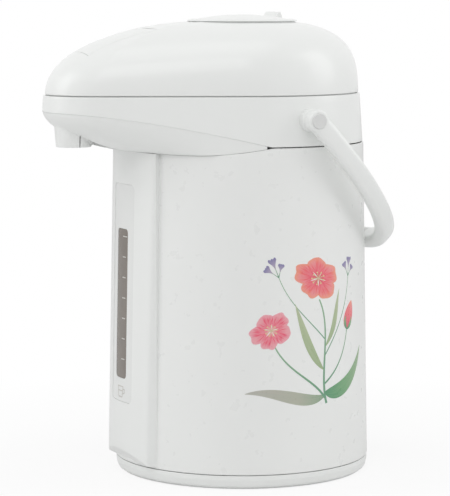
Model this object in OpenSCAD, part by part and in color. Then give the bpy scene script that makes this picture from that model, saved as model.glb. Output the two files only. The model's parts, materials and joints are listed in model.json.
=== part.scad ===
// Electric thermo pot with an air pump in its hinged lid.
// Millimetres. The origin is on the pot's axis at the table, +Z is up and the spout points to -Y.

/* [Body] */
// Radius of the body shell at its foot
shell_foot_r = 92.3; // [86:0.1:98]
// Radius of the body shell at its top
shell_top_r = 88.2; // [84:0.1:95]
// Height of the shell's foot over the table
shell_foot_z = 10.6; // [9.6:0.1:13]
// Height of the seam between shell and collar
collar_z = 238.6; // [225:0.1:260]
// Thickness of the painted steel shell
shell_wall = 1.2; // [0.8:0.1:2]
// How far the front of the shell dips under the beak
front_dip = 5.1; // [2:0.1:8]
// How far behind the front the dip starts, from the pot's axis
dip_start_y = -18; // [-30:1:-5]

/* [Swivel base] */
// Radius of the swivel base
base_r = 92; // [85:0.1:97]
// Height of the swivel base's rim
base_h = 9.6; // [8:0.1:11]
// Thickness of the rubber foot ring under the base
pad_h = 1.8; // [1:0.1:3]
// Outer radius of the rubber foot ring
pad_r = 82; // [60:0.5:84]
// Width of the rubber foot ring
pad_w = 14; // [6:0.5:20]
// Radius of the ball circle
ball_circle_r = 60; // [40:1:70]
// Radius of one bearing ball
ball_r = 2.4; // [2:0.1:3]
// Number of bearing balls
ball_count = 12; // [6:1:20]
// Radius of the pivot hub
hub_r = 9; // [6:0.5:14]

/* [Collar and beak] */
// Height of the seam between collar and lid
lid_z = 274; // [262:0.1:290]
// Radius of the collar at its foot
collar_foot_r = 87.6; // [82:0.1:92]
// Radius of the collar at its top
collar_top_r = 85.3; // [80:0.1:90]
// Wall of the collar
collar_wall = 2.4; // [1.8:0.1:3.5]
// Radius of the beak's round end at the collar's top
beak_r = 41.0; // [34:0.1:48]
// Distance of the centre of that round end from the pot's axis
beak_reach = 110; // [95:0.5:120]
// Height of the collar's lower edge at the beak's tip
ledge_tip_z = 262.4; // [256:0.1:266]
// How round the beak's underside is
cover_round = 1.6; // [1.3:0.05:2.4]
// Width of the dark insert behind the nozzle
insert_w = 28; // [18:0.5:32]
// Wall of the cover under the beak
cover_wall = 2.2; // [1.6:0.1:3]

/* [Spout] */
// Distance of the nozzle from the pot's axis
nozzle_reach = 131.2; // [120:0.1:134]
// Radius of the nozzle at its top
nozzle_top_r = 13.5; // [10:0.1:16]
// Radius of the nozzle at its mouth
nozzle_mouth_r = 12.4; // [9:0.1:15]
// Height of the nozzle's mouth
nozzle_z = 238; // [232:0.1:244]
// Outer radius of the water pipes
pipe_r = 5; // [4:0.1:6]
// Wall of the water pipes
pipe_wall = 1.2; // [0.8:0.1:1.6]
// Height of the spout pipe's axis
spout_pipe_z = 254.5; // [252:0.1:257]
// Distance of the gauge tube from the pot's axis
gauge_tube_y = 79; // [77:0.1:80]

/* [Gauge panel] */
// How far the front panel stands off the shell at its top
panel_top_rise = 5; // [3:0.1:7]
// How far it stands off at its foot
panel_foot_rise = 5.6; // [3:0.1:7.5]
// Half angle of the panel's face, degrees
panel_face_a = 20.4; // [16:0.1:26]
// Half angle of the panel's foot, degrees
panel_foot_a = 23.6; // [20:0.1:30]
// Lowest point of the panel
panel_low_z = 12.4; // [11.4:0.1:16]
// Height of the bevel at its lower end
panel_bevel_h = 8; // [4:0.5:14]
// Width of the scale inlay
inlay_w = 34; // [28:0.5:44]
// Lower end of the scale inlay
inlay_low_z = 54.8; // [40:0.1:62]
// Upper end of the scale inlay
inlay_high_z = 210.6; // [190:0.1:222]
// Width of the gauge window
window_w = 17.4; // [12:0.1:20]
// Lower end of the gauge window
window_low_z = 71.5; // [66:0.1:90]
// Upper end of the gauge window
window_high_z = 178.8; // [150:0.1:186]

/* [Water container] */
// Inner radius of the container
container_r = 66; // [58:0.5:67]
// Wall of the stainless container
container_wall = 1; // [0.6:0.1:1.5]
// Height of the container's floor
container_low_z = 34; // [32:0.5:40]
// Height of the container's rim
container_high_z = 262; // [250:0.5:264]
// Radius of its mouth
mouth_r = 62; // [56:0.5:64]

/* [Lid] */
// Radius of the lid at the seam
lid_r = 84.3; // [79:0.1:89]
// Height of the lid's crown
crown_z = 326; // [315:0.1:332]
// Wall of the lid
lid_wall = 2.4; // [1.8:0.1:3.5]
// Gap at the seam between lid and collar
seam_gap = 0.7; // [0.4:0.1:1.2]
// Squareness of the lid's side and rear
lid_square = 3.2; // [2.2:0.05:4]
// Squareness of the lid over the beak
beak_square = 2.28; // [1.8:0.01:3]
// How much the lid narrows towards its crown
lid_draft = 0.033; // [0:0.001:0.06]
// Distance of the hinge pin from the pot's axis
hinge_y = 78.5; // [76:0.1:79]
// Height of the hinge pin over the lid seam
hinge_rise = 9; // [8:0.1:11]
// Radius of the hinge barrel
barrel_r = 8; // [7:0.1:8.4]
// Half length of the hinge barrel
barrel_half = 15; // [12:0.5:20]
// Radius of the hinge pin
hinge_pin_r = 2.5; // [2:0.1:3]

/* [Pump] */
// Height of the push plate's top
plate_top_z = 330; // [326:0.1:336]
// Radius of the push plate
plate_r = 34.7; // [30:0.1:38]
// How much the push plate's top is domed
plate_dome = 3.6; // [1:0.1:6]
// Travel of the push plate
pump_travel = 16; // [10:0.5:18]
// Outer radius of the lock ring round it
lock_r = 39.6; // [37:0.1:43]
// Height of the lock lever's top
lever_top_z = 331.6; // [328:0.1:336]
// Distance of the lock lever's tip from the pot's axis
lever_reach = 62; // [50:0.5:68]
// Direction of the lock lever, degrees from the rear towards -X
lever_a = 40; // [20:1:60]
// Outer radius of the pump bellows
bellows_r = 31; // [24:0.5:32]
// Number of folds in the bellows
fold_count = 7; // [4:1:10]
// Number of turns of the return spring
spring_turns = 6; // [3:1:9]

/* [Lid latch] */
// Width of the latch lever
latch_w = 34; // [24:0.5:44]
// Front end of the latch lever, from the pot's axis
latch_front = 126; // [110:0.5:130]
// Distance of the latch pin from the pot's axis
latch_pin_y = 77; // [70:0.5:90]
// Height of the latch pin
latch_pin_z = 314.5; // [312:0.1:315]

/* [Handle] */
// Distance of the handle's pivot behind the pot's axis
pivot_y = 10.4; // [0:0.5:20]
// Height of the handle's pivot
pivot_z = 257.5; // [248:0.1:266]
// Distance of the arms' middle from the pot's axis
arm_x = 97; // [93:0.1:102]
// Width of the arms across the pot
arm_t = 8.2; // [6:0.1:12]
// Thickness of the grip
grip_t = 11.6; // [9:0.1:16]
// Depth of the arms
arm_d = 14.4; // [12:0.1:22]
// Reach from the pivot to the middle of the grip
handle_reach = 126; // [124:0.1:136]
// Squareness of the bail's curve
bail_square = 2.4; // [2:0.05:3]
// Angle of the hanging handle from the vertical, degrees
handle_rest_a = 43.3981; // [41.5:0.0001:50]
// Radius of the handle's pivot pins
handle_pin_r = 4; // [3:0.1:5]

/* [Power inlet] */
// Width of the power inlet
inlet_w = 30; // [24:0.5:40]
// Height of the power inlet
inlet_h = 20; // [16:0.5:28]
// Height of the middle of the inlet
inlet_z = 34; // [28:0.5:44]

/* [Hidden] */

$fn = 96;
white = [0.93, 0.94, 0.93];
fit = 0.1;           // sliding clearance on one side
run_gap = 0.3;       // clearance between bodies that move
eps = 0.01;          // overlap that closes a cut
ring_gap = 1.5;       // gap between push plate and lock ring
insert_len = 16.3;    // length of the insert behind the nozzle
pin_len = 18;         // length of a handle pin inside the arm
inlet_back_y = shell_foot_r - 16.3;

// ---- heights that several pieces share
plate_edge_z = plate_top_z - plate_dome;
plate_skirt_z = plate_edge_z - 9.5;
deck_z = container_high_z + 3.4;
hinge_z = lid_z + hinge_rise;
lid_low_z = lid_z + seam_gap;
lid_h = crown_z - lid_low_z;
lid_plate_t = 2.6;
latch_eye_r = 6;
lid_screw_r = lid_r - 18.3;
lid_boss_z = lid_low_z + 0.2 + lid_plate_t + 0.05;
well_r = plate_r + 0.5;
bellows_low_z = lid_low_z + 0.25 + lid_plate_t;
bellows_high_z = plate_edge_z - 7.5;
rod_r = shell_foot_r - 13.8;
catch_y = container_r + 14;
catch_z = lid_z - 1.6;
eye_r = arm_d / 2 + 0.7;
boss_r = eye_r + 0.2;
boss_x = arm_x - arm_t / 2 - run_gap;
valve_r = pipe_r + 1.2;

function shell_r(z) = shell_foot_r
    + (shell_top_r - shell_foot_r) * (z - shell_foot_z) / (collar_z - shell_foot_z);
function mix(a, b, t) = a + (b - a) * t;
function clamp01(t) = min(1, max(0, t));
function smooth(t) = clamp01(t) * clamp01(t) * (3 - 2 * clamp01(t));

// ---- the dip of the shell under the beak is a large cylinder across the front
dip_end_y = -shell_top_r;
dip_mid_y = (dip_start_y * 0.42 + dip_end_y * 0.58) - 12;
dip_cyl_r = (pow(dip_start_y - dip_mid_y, 2) + front_dip * front_dip) / (2 * front_dip);
dip_cyl_z = collar_z - front_dip + dip_cyl_r;
function dip_z(y) = y > dip_start_y
    ? collar_z
    : dip_cyl_z - sqrt(dip_cyl_r * dip_cyl_r - pow(y - dip_mid_y, 2));

// ---- egg outline: a big circle on the axis, a small one on the beak and their tangents
tip_steps = 10;
side_steps = 6;
back_steps = 16;
// Direction of the tangents' contact, from the front
function tangent_a(big, small) = acos((big - small) / beak_reach);
function half_outline(big, small) =
    let (a = tangent_a(big, small))
    concat(
        [for (i = [0 : tip_steps])
            let (t = a * i / tip_steps)
            [small * sin(t), -beak_reach - small * cos(t)]],
        [for (i = [1 : side_steps - 1])
            let (f = i / side_steps)
            mix([small * sin(a), -beak_reach - small * cos(a)], [big * sin(a), -big * cos(a)], f)],
        [for (i = [0 : back_steps])
            let (t = a + (180 - a) * i / back_steps)
            [big * sin(t), -big * cos(t)]]
    );
half_n = tip_steps + side_steps + back_steps;
// Whole outline, anticlockwise seen from above, starting at the beak's tip
function outline(big, small) =
    let (h = half_outline(big, small))
    concat(h, [for (i = [len(h) - 2 : -1 : 1]) [-h[i][0], h[i][1]]]);
ring_n = 2 * half_n;
// Station number counted from the beak's tip on either side
function half_i(i) = i <= half_n ? i : ring_n - i;
module egg(big, small) {
    a = tangent_a(big, small);
    circle(r = big);
    translate([0, -beak_reach]) circle(r = small);
    polygon([
        [big * sin(a), -big * cos(a)], [-big * sin(a), -big * cos(a)],
        [-small * sin(a), -beak_reach - small * cos(a)],
        [small * sin(a), -beak_reach - small * cos(a)]
    ]);
}

// Closed band from rings of points: loops[k][i], each ring closed in itself
function band_points(loops) = [for (ring = loops) for (p = ring) p];
function band_faces(rings, n) = [
    for (k = [0 : rings - 1]) for (i = [0 : n - 1])
        let (a = k * n + i, b = k * n + (i + 1) % n,
             c = ((k + 1) % rings) * n + i, d = ((k + 1) % rings) * n + (i + 1) % n)
        each [[a, c, b], [b, c, d]]
];
module torus_band(loops) {
    polyhedron(band_points(loops), band_faces(len(loops), len(loops[0])), convexity = 8);
}
// Solid from cross-sections along an open path: sections[k][i]
module lofted(sections) {
    n = len(sections[0]);
    m = len(sections);
    faces = concat(
        [[for (i = [0 : n - 1]) i]],
        [for (k = [0 : m - 2]) for (i = [0 : n - 1])
            let (a = k * n + i, b = k * n + (i + 1) % n, c = a + n, d = b + n)
            each [[a, c, b], [b, c, d]]],
        [[for (i = [n - 1 : -1 : 0]) (m - 1) * n + i]]
    );
    polyhedron([for (s = sections) for (p = s) p], faces, convexity = 8);
}

// ---- small helpers
module ring(r_out, r_in, z0, z1) {
    rotate_extrude() translate([r_in, z0]) square([r_out - r_in, z1 - z0]);
}
module round_rect(w, h, r) {
    square([w, h - 2 * r], center = true);
    square([w - 2 * r, h], center = true);
    for (x = [-1, 1], y = [-1, 1])
        translate([x * (w / 2 - r), y * (h / 2 - r)]) circle(r = r, $fn = 32);
}
// A rounded opening through the front, from y0 to y1
module front_slot(w, z0, z1, r, y0, y1) {
    translate([0, y1, (z0 + z1) / 2]) rotate([90, 0, 0])
        linear_extrude(y1 - y0) round_rect(w, z1 - z0, r);
}
// Screw pointing up with the underside of its head at z = 0
module screw(len) {
    cylinder(r = screw_r, h = len, $fn = 32);
    difference() {
        translate([0, 0, -screw_head_h]) cylinder(r = screw_head_r, h = screw_head_h + eps, $fn = 32);
        for (a = [0, 90]) rotate([0, 0, a])
            translate([-1.6, -0.3, -screw_head_h - 1]) cube([3.2, 0.6, 1.5]);
    }
}
// Coil spring standing on z = 0
coil_steps = 10;
coil_sides = 6;
module coil(r, wire, turns, h) {
    n = turns * coil_steps;
    lofted([for (k = [0 : n])
        let (a = 360 * k / coil_steps, z = wire + (h - 2 * wire) * k / n)
        [for (i = [0 : coil_sides - 1])
            let (b = 360 * i / coil_sides, q = r + wire * cos(b))
            [q * cos(a), q * sin(a), z + wire * sin(b)]]]);
}
// Round tube or rod along a path of points
function dir(a, b) = (b - a) / norm(b - a);
function tangent(path, k) =
    k == 0 ? dir(path[0], path[1])
    : k == len(path) - 1 ? dir(path[k - 1], path[k])
    : dir(path[k - 1], path[k + 1]);
module wire_along(path, r, sides) {
    lofted([for (k = [0 : len(path) - 1])
        let (t = tangent(path, k),
             u0 = abs(t[2]) > 0.9 ? [1, 0, 0] : [0, 0, 1],
             u = cross(t, u0) / norm(cross(t, u0)), v = cross(t, u))
        [for (i = [0 : sides - 1])
            path[k] + r * cos(360 * i / sides) * u + r * sin(360 * i / sides) * v]]);
}

// ======== swivel base
base_plate_z = 5;
base_plate_t = 2.4;
race_depth = 0.6;
ball_z = base_plate_z + base_plate_t - race_depth + ball_r + 0.02;
module swivel_base() color(white) {
    difference() {
        rotate_extrude() polygon([
            [hub_r - 4, base_plate_z], [pad_r - pad_w - 2, base_plate_z],
            [pad_r - pad_w - 2, pad_h - 0.6], [pad_r - pad_w, pad_h - 0.6],
            [pad_r - pad_w, pad_h], [pad_r, pad_h], [pad_r, pad_h - 0.6],
            [base_r - 7, pad_h - 0.6], [base_r - 7, 0.5], [base_r - 3.6, 0.5], [base_r - 1.9, 1.4],
            [base_r - 0.8, 3], [base_r - 0.2, 5], [base_r, 7], [base_r, base_h - 0.8], [base_r - 0.8, base_h], [base_r - 3, base_h],
            [base_r - 3, base_plate_z + base_plate_t], [hub_r, base_plate_z + base_plate_t],
            [hub_r, hub_top_z], [hub_r - 4, hub_top_z]
        ]);
        translate([0, 0, ball_z])
            rotate_extrude() translate([ball_circle_r, 0]) circle(r = ball_r + 0.05, $fn = 32);
    }
}
module base_pad() color([0.25, 0.25, 0.26])
    rotate_extrude() polygon([
        [pad_r - pad_w + fit, 0.4], [pad_r - pad_w + 0.5, 0], [pad_r - 0.5, 0],
        [pad_r - fit, 0.4], [pad_r - fit, pad_h], [pad_r - pad_w + fit, pad_h]
    ]);
cover_low_z = base_h + 1.2;
cover_t = 2.4;
hub_top_z = cover_low_z + cover_t + run_gap;
module pivot_washer() color([0.75, 0.76, 0.78]) {
    ring(hub_r + 5, hub_r - 3.5, hub_top_z + 0.02, hub_top_z + 1.8);
    ring(hub_r - 4 - fit, hub_r - 6, base_plate_z + 1, hub_top_z + 1.8);
    ring(hub_r - 3, hub_r - 6, hub_top_z + 0.02, hub_top_z + 1.8);
}
module ball_places() for (i = [0 : ball_count - 1])
    rotate([0, 0, 360 * i / ball_count]) translate([ball_circle_r, 0, ball_z]) children();
module bearing_cage() color([0.3, 0.32, 0.35]) difference() {
    ring(ball_circle_r + 5, ball_circle_r - 5, ball_z - 0.6, ball_z + 0.9);
    ball_places() cylinder(r = ball_r + 0.12, h = 6, center = true, $fn = 32);
}
module bearing_balls() color([0.8, 0.8, 0.82]) ball_places() sphere(r = ball_r, $fn = 32);

// ======== pot body
module bottom_cover() color(white) {
    difference() {
        rotate_extrude() polygon([
            [hub_r + 0.08, cover_low_z], [shell_foot_r - shell_wall - 1 - fit, cover_low_z],
            [shell_foot_r - shell_wall - 1 - fit, shell_foot_z],
            [shell_r(cover_low_z + 8) - shell_wall - fit, shell_foot_z + 2],
            [shell_r(cover_low_z + 8) - shell_wall - fit, cover_low_z + 8],
            [shell_r(cover_low_z + 8) - shell_wall - 2.6, cover_low_z + 8],
            [shell_r(cover_low_z + 8) - shell_wall - 2.6, cover_low_z + cover_t],
            [hub_r + 0.08, cover_low_z + cover_t]
        ]);
        translate([0, 0, ball_z]) rotate_extrude()
            translate([ball_circle_r, 0]) circle(r = ball_r + run_gap, $fn = 32);
        rod_places() {
            cylinder(r = screw_r + 0.3, h = 40, $fn = 32);
            cylinder(r = screw_head_r + 0.4, h = cover_low_z + screw_head_h + fit, $fn = 32);
        }
    }
}
module shell_cut_tool() {
    translate([-150, dip_mid_y, dip_cyl_z]) rotate([0, 90, 0])
        cylinder(r = dip_cyl_r, h = 300, $fn = 256);
}
module body_shell() color(white) {
    difference() {
        rotate_extrude() polygon([
            [shell_foot_r - shell_wall - 1, shell_foot_z], [shell_foot_r - 1, shell_foot_z],
            [shell_r(shell_foot_z + 1.2), shell_foot_z + 1.2],
            [shell_top_r, collar_z - 0.5], [shell_top_r - 0.5, collar_z],
            [shell_top_r - shell_wall, collar_z],
            [shell_r(shell_foot_z + 1.2) - shell_wall, shell_foot_z + 1.2]
        ]);
        shell_cut_tool();
        front_slot(window_w + 3, window_low_z - 4, window_high_z + 4, 4, -100, -70);
        translate([-inlet_w / 2 - 1, 70, inlet_z - inlet_h / 2 - 1])
            cube([inlet_w + 2, 40, inlet_h + 2]);
    }
}
// Wedge of the front between two radii at half angles a0 (inner) and a1 (outer)
module front_wedge(r0, a0, r1, a1, z0, z1) {
    translate([0, 0, z0]) linear_extrude(z1 - z0) polygon([
        [0, 0], [r0 * sin(a0), -r0 * cos(a0)], [r1 * sin(a1), -r1 * cos(a1)], [0, -r1 - 8],
        [-r1 * sin(a1), -r1 * cos(a1)], [-r0 * sin(a0), -r0 * cos(a0)]
    ]);
}
function panel_r(z) = shell_r(z)
    + mix(panel_foot_rise, panel_top_rise, (z - panel_low_z) / (collar_z - panel_low_z));
module panel_skin(inset, t) {
    rotate_extrude() polygon([
        [panel_r(panel_low_z) - inset - t, panel_low_z],
        [panel_r(panel_low_z) - inset, panel_low_z],
        [panel_r(collar_z) - inset, collar_z], [panel_r(collar_z) - inset - t, collar_z]
    ]);
}
inlay_depth = 0.7;
inlay_inset = 0.25;
// The inlay, or with grow and out the recess that holds it
module inlay_solid(grow, out) {
    intersection() {
        panel_skin(inlay_inset - out, inlay_depth + out + grow);
        front_slot(inlay_w + 2 * grow, inlay_low_z - grow, inlay_high_z + grow, 4.2, -130, -60);
    }
}
module gauge_panel() color(white) difference() {
    intersection() {
        rotate_extrude() polygon([
            [shell_r(panel_low_z) + 0.05, panel_low_z], [panel_r(panel_low_z), panel_low_z],
            [panel_r(collar_z), collar_z], [shell_r(collar_z) + 0.05, collar_z]
        ]);
        front_wedge(
            shell_foot_r, panel_foot_a, panel_r(panel_low_z), panel_face_a, 0, collar_z);
    }
    shell_cut_tool();
    // bevel at the lower end
    translate([0, -panel_r(panel_low_z), panel_low_z + panel_bevel_h]) rotate([40, 0, 0])
        translate([-60, -30, -40]) cube([120, 30, 40]);
    inlay_solid(fit, 2);
    front_slot(window_w, window_low_z, window_high_z, 3, -130, -60);
}
module scale_inlay() color([0.9, 0.91, 0.9]) difference() {
    inlay_solid(0, 0);
    front_slot(window_w, window_low_z, window_high_z, 3, -130, -60);
}
module gauge_window() color([0.55, 0.5, 0.46]) intersection() {
    panel_skin(0.5, 2.2);
    front_slot(window_w - 2 * fit, window_low_z + fit, window_high_z - fit, 2.9, -130, -60);
}

// ======== water path
tube_low_z = 44;
tube_high_z = spout_pipe_z - 6;
outlet_z = 24;
outlet_y = 48;
module pipe_z(z0, z1) translate([0, 0, z0])
    difference() {
        cylinder(r = pipe_r, h = z1 - z0, $fn = 48);
        translate([0, 0, -1]) cylinder(r = pipe_r - pipe_wall, h = z1 - z0 + 2, $fn = 48);
    }
module gauge_tube() color([0.8, 0.86, 0.9])
    translate([0, -gauge_tube_y, 0]) pipe_z(tube_low_z, tube_high_z);
seal_r = pipe_r + 2;
module tube_seals() color([0.85, 0.83, 0.8])
    for (z = [tube_low_z - 5, tube_high_z - 10.1]) translate([0, -gauge_tube_y, z])
        rotate_extrude() translate([pipe_r + 0.02, 0]) square([seal_r - pipe_r, 10]);
module elbow_solid(r) {
    translate([0, -outlet_y, outlet_z]) cylinder(r = r, h = container_low_z - container_wall - 0.05 - outlet_z);
    translate([0, -outlet_y, outlet_z]) sphere(r = r, $fn = 48);
    translate([0, -gauge_tube_y, outlet_z]) rotate([-90, 0, 0])
        cylinder(r = r, h = gauge_tube_y - outlet_y);
    translate([0, -gauge_tube_y, outlet_z]) sphere(r = r, $fn = 48);
    translate([0, -gauge_tube_y, outlet_z]) cylinder(r = r, h = tube_low_z - outlet_z - 0.2);
}
module outlet_elbow() color([0.88, 0.88, 0.86]) difference() {
    elbow_solid(pipe_r);
    elbow_solid(pipe_r - pipe_wall);
    translate([0, -outlet_y, outlet_z]) cylinder(r = pipe_r - pipe_wall, h = 40, $fn = 48);
    translate([0, -gauge_tube_y, outlet_z]) cylinder(r = pipe_r - pipe_wall, h = 40, $fn = 48);
}
module outlet_gasket() color([0.85, 0.83, 0.8])
    translate([0, -outlet_y, container_low_z - container_wall - 3.65])
        rotate_extrude() translate([pipe_r + 0.02, 0]) square([2.6, 3.6]);
module container() color([0.78, 0.79, 0.8]) difference() {
    rotate_extrude() polygon(concat(
        [[0, container_low_z], [container_r - 8, container_low_z]],
        [for (a = [-75 : 15 : 0]) [container_r - 8 + 8 * cos(a), container_low_z + 8 + 8 * sin(a)]],
        [[container_r, container_high_z - 10], [mouth_r, container_high_z - 3],
         [mouth_r, container_high_z], [container_r + 6, container_high_z],
         [container_r + 6, container_high_z - container_wall],
         [mouth_r + container_wall, container_high_z - container_wall],
         [mouth_r + container_wall, container_high_z - 3.4],
         [container_r + container_wall, container_high_z - 10.4]],
        [for (a = [0 : -15 : -75]) [container_r - 8 + (8 + container_wall) * cos(a),
            container_low_z + 8 + (8 + container_wall) * sin(a)]],
        [[container_r - 8, container_low_z - container_wall],
         [0, container_low_z - container_wall]]
    ));
    translate([0, -outlet_y, 0]) cylinder(r = pipe_r - pipe_wall, h = container_low_z + 5);
}
module mouth_ring() color([0.86, 0.85, 0.83]) rotate_extrude() polygon([
    [mouth_r + 0.6, container_high_z + 0.02], [container_r + 5.6, container_high_z + 0.02],
    [container_r + 5.6, deck_z - 0.02], [container_r + 0.8, deck_z - 0.02],
    [container_r + 0.4, container_high_z + 2.4], [mouth_r + 0.6, container_high_z + 2.4]
]);
// Thin steel tube that carries the container's rim
shield_r = container_r + 5.2;
module heat_shield() color([0.7, 0.71, 0.72]) difference() {
    ring(shield_r, shield_r - 0.6, cover_low_z + cover_t + 0.02,
        container_high_z - container_wall - 0.02);
    translate([-pipe_r - 2, -100, 0]) cube([2 * pipe_r + 4, 60, outlet_z + pipe_r + 2]);
    translate([-inlet_w / 2, 40, 0]) cube([inlet_w, 60, inlet_z + inlet_h / 2]);
}

// ======== heating and wiring
heater_low_z = container_low_z + 12;
module band_heater() color([0.62, 0.55, 0.42]) difference() {
    ring(container_r + container_wall + 2.6, container_r + container_wall + 0.02,
        heater_low_z, heater_low_z + 34);
    rotate([0, 0, 200]) translate([0, -3, 0]) cube([100, 6, 200]);
}
module plate_heater() color([0.5, 0.5, 0.52]) difference() {
    translate([0, 0, container_low_z - container_wall - 3.02]) cylinder(r = 38, h = 3);
    translate([0, 0, 0]) cylinder(r = 10, h = 60);
}
module thermostat() color([0.85, 0.83, 0.78])
    translate([22, 6, container_low_z - container_wall - 3.04 - 9]) {
        cylinder(r = 8, h = 9);
        translate([0, -2, -2.5]) cube([3, 4, 2.6]);
        translate([-6, -2, -2.5]) cube([3, 4, 2.6]);
    }
module thermal_fuse() color([0.9, 0.9, 0.88])
    translate([-24, -10, container_low_z - container_wall - 3.04 - 4.2])
        rotate([0, 90, 90]) translate([-2.1, -2.1, 0]) {
            translate([0, 2.1, 0]) cylinder(r = 2.1, h = 20, $fn = 32);
        }
wire_r = 1.3;
wire_points = [
    [[7, inlet_back_y - 2, inlet_z], [7, 66, 30], [10, 50, 21], [16, 30, 18.5], [24, 16, 17.4], [24.6, 8, 17]],
    [[-7, inlet_back_y - 2, inlet_z], [-7, 66, 30], [-12, 50, 21], [-20, 34, 20], [-26, 22, 22.5], [-26, 12, 25.6]],
    [[17.4, 4, 17], [8, -8, 17.2], [-8, -16, 18.4], [-20, -16, 22], [-26, -12.4, 25.6]]
];
module wiring() color([0.75, 0.2, 0.15]) for (path = wire_points) wire_along(path, wire_r, 6);
module power_inlet() color([0.16, 0.16, 0.17]) {
    front_y = shell_r(inlet_z) + 0.6;
    difference() {
        union() {
            translate([-inlet_w / 2, inlet_back_y, inlet_z - inlet_h / 2])
                cube([inlet_w, front_y - inlet_back_y, inlet_h]);
            difference() {
                translate([0, front_y + 1.2, inlet_z]) rotate([90, 0, 0])
                    linear_extrude(8) round_rect(inlet_w + 7, inlet_h + 7, 3);
                cylinder(r = shell_r(inlet_z - inlet_h / 2 - 4) + 0.05, h = 100, $fn = 160);
            }
        }
        translate([-inlet_w / 2 + 3, inlet_back_y + 3, inlet_z - inlet_h / 2 + 3])
            cube([inlet_w - 6, 30, inlet_h - 6]);
        for (x = [-7, 7]) translate([x, 60, inlet_z]) rotate([-90, 0, 0])
            cylinder(r = 1.6, h = 40, $fn = 32);
    }
}
module inlet_pins() color([0.8, 0.72, 0.45]) for (x = [-7, 7])
    translate([x, inlet_back_y - 1.5, inlet_z]) rotate([-90, 0, 0]) {
        cylinder(r = 1.58, h = 12, $fn = 32);
        translate([0, 0, 12]) sphere(r = 1.58, $fn = 32);
    }
// Rods that clamp bottom, shell, collar and deck together, tapped at both ends
screw_r = 1.2;
screw_len = 12;
screw_head_r = 2.6;
screw_head_h = 1.1;
rod_top_r = 2.9;
module rod_places() for (a = [45 : 90 : 315]) rotate([0, 0, a]) translate([rod_r, 0, 0]) children();
module tie_rods() color([0.7, 0.71, 0.72]) rod_places() difference() {
    low = cover_low_z + cover_t + 0.02;
    translate([0, 0, low]) cylinder(r = rod_top_r, h = deck_z - 0.02 - low, $fn = 32);
    translate([0, 0, low - 1]) cylinder(r = screw_r + 0.02, h = screw_len + 2, $fn = 32);
    translate([0, 0, deck_z - screw_len]) cylinder(r = screw_r + 0.02, h = screw_len + 1, $fn = 32);
}

// ======== collar and beak
// Lower edge of the collar's wall
collar_gap = 0.7;
ledge_pow = 1.45;
beak_tip_y = -(beak_reach + beak_r);
function ledge_z(y) = y > dip_start_y ? collar_z + collar_gap
    : collar_z + collar_gap + (ledge_tip_z - collar_z - collar_gap)
        * (1 - pow(1 - clamp01((dip_start_y - y) / (dip_start_y - beak_tip_y)), ledge_pow));
function collar_flare(z) = (collar_foot_r - collar_top_r) * (lid_z - z) / (lid_z - collar_z);
function collar_ring(f, inset, drop) =
    let (top = outline(collar_top_r - inset, beak_r - inset))
    [for (p = top)
        let (low = ledge_z(p[1]), z = mix(low, lid_z - drop, f),
             g = collar_flare(z), q = norm(p))
        [p[0] * (1 + g / q), p[1] * (1 + g / q), z]];
module collar() color(white) difference() {
    union() {
        torus_band([
            collar_ring(0, 0.3, 0), collar_ring(0.03, 0, 0), collar_ring(0.5, 0, 0),
            collar_ring(1, 0, 0.8), collar_ring(1, 0.8, 0),
            collar_ring(1, collar_wall, 0), collar_ring(0.5, collar_wall, 0),
            collar_ring(0, collar_wall, 0)
        ]);
        for (s = [-1, 1]) translate([s * boss_in_x, pivot_y, pivot_z]) rotate([0, s * 90, 0])
            cylinder(r = boss_r, h = boss_x - boss_in_x, $fn = 64);
    }
    translate([-120, pivot_y, pivot_z]) rotate([0, 90, 0])
        cylinder(r = handle_pin_r, h = 240, $fn = 48);
}
deck_t = 2.6;
boss_in_x = collar_top_r - 1.7;
module deck_outline(inset) egg(collar_top_r - inset, beak_r - inset);
module collar_deck() color(white) difference() {
    union() {
        difference() {
            translate([0, 0, deck_z]) linear_extrude(deck_t) deck_outline(collar_wall + fit);
            translate([0, 0, deck_z - 1]) cylinder(r = container_r + 0.5, h = 10);
        }
        // funnel lip round the mouth
        ring(container_r + 2, container_r + 0.5 - 0.02, deck_z, deck_z + deck_t + 1.2);
        // hinge barrel and its neck
        intersection() {
            translate([-barrel_half, hinge_y, hinge_z]) rotate([0, 90, 0])
                cylinder(r = barrel_r, h = 2 * barrel_half, $fn = 64);
            translate([0, 0, lid_z + 0.3]) cylinder(r = lid_r - 0.1, h = 30, $fn = 160);
        }
        translate([-barrel_half, hinge_y - 6, deck_z]) intersection() {
            cube([2 * barrel_half, 12, lid_z + 3 - deck_z]);
            translate([barrel_half, 6 - hinge_y, 0])
                cylinder(r = collar_top_r - collar_wall - 0.2, h = 30, $fn = 160);
        }
        // catch bar for the lid latch
        for (s = [-1, 1]) translate([s * 9 - 1.5, -catch_y - 2, deck_z + 1])
            cube([3, 4, catch_z - deck_z + 1]);
        translate([-10.5, -catch_y, catch_z]) rotate([0, 90, 0])
            cylinder(r = 2, h = 21, $fn = 32);
    }
    translate([-50, hinge_y, hinge_z]) rotate([0, 90, 0])
        cylinder(r = hinge_pin_r, h = 100, $fn = 48);
    rod_places() translate([0, 0, deck_z - 1]) cylinder(r = screw_r + 0.3, h = 10, $fn = 32);
}

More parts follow.
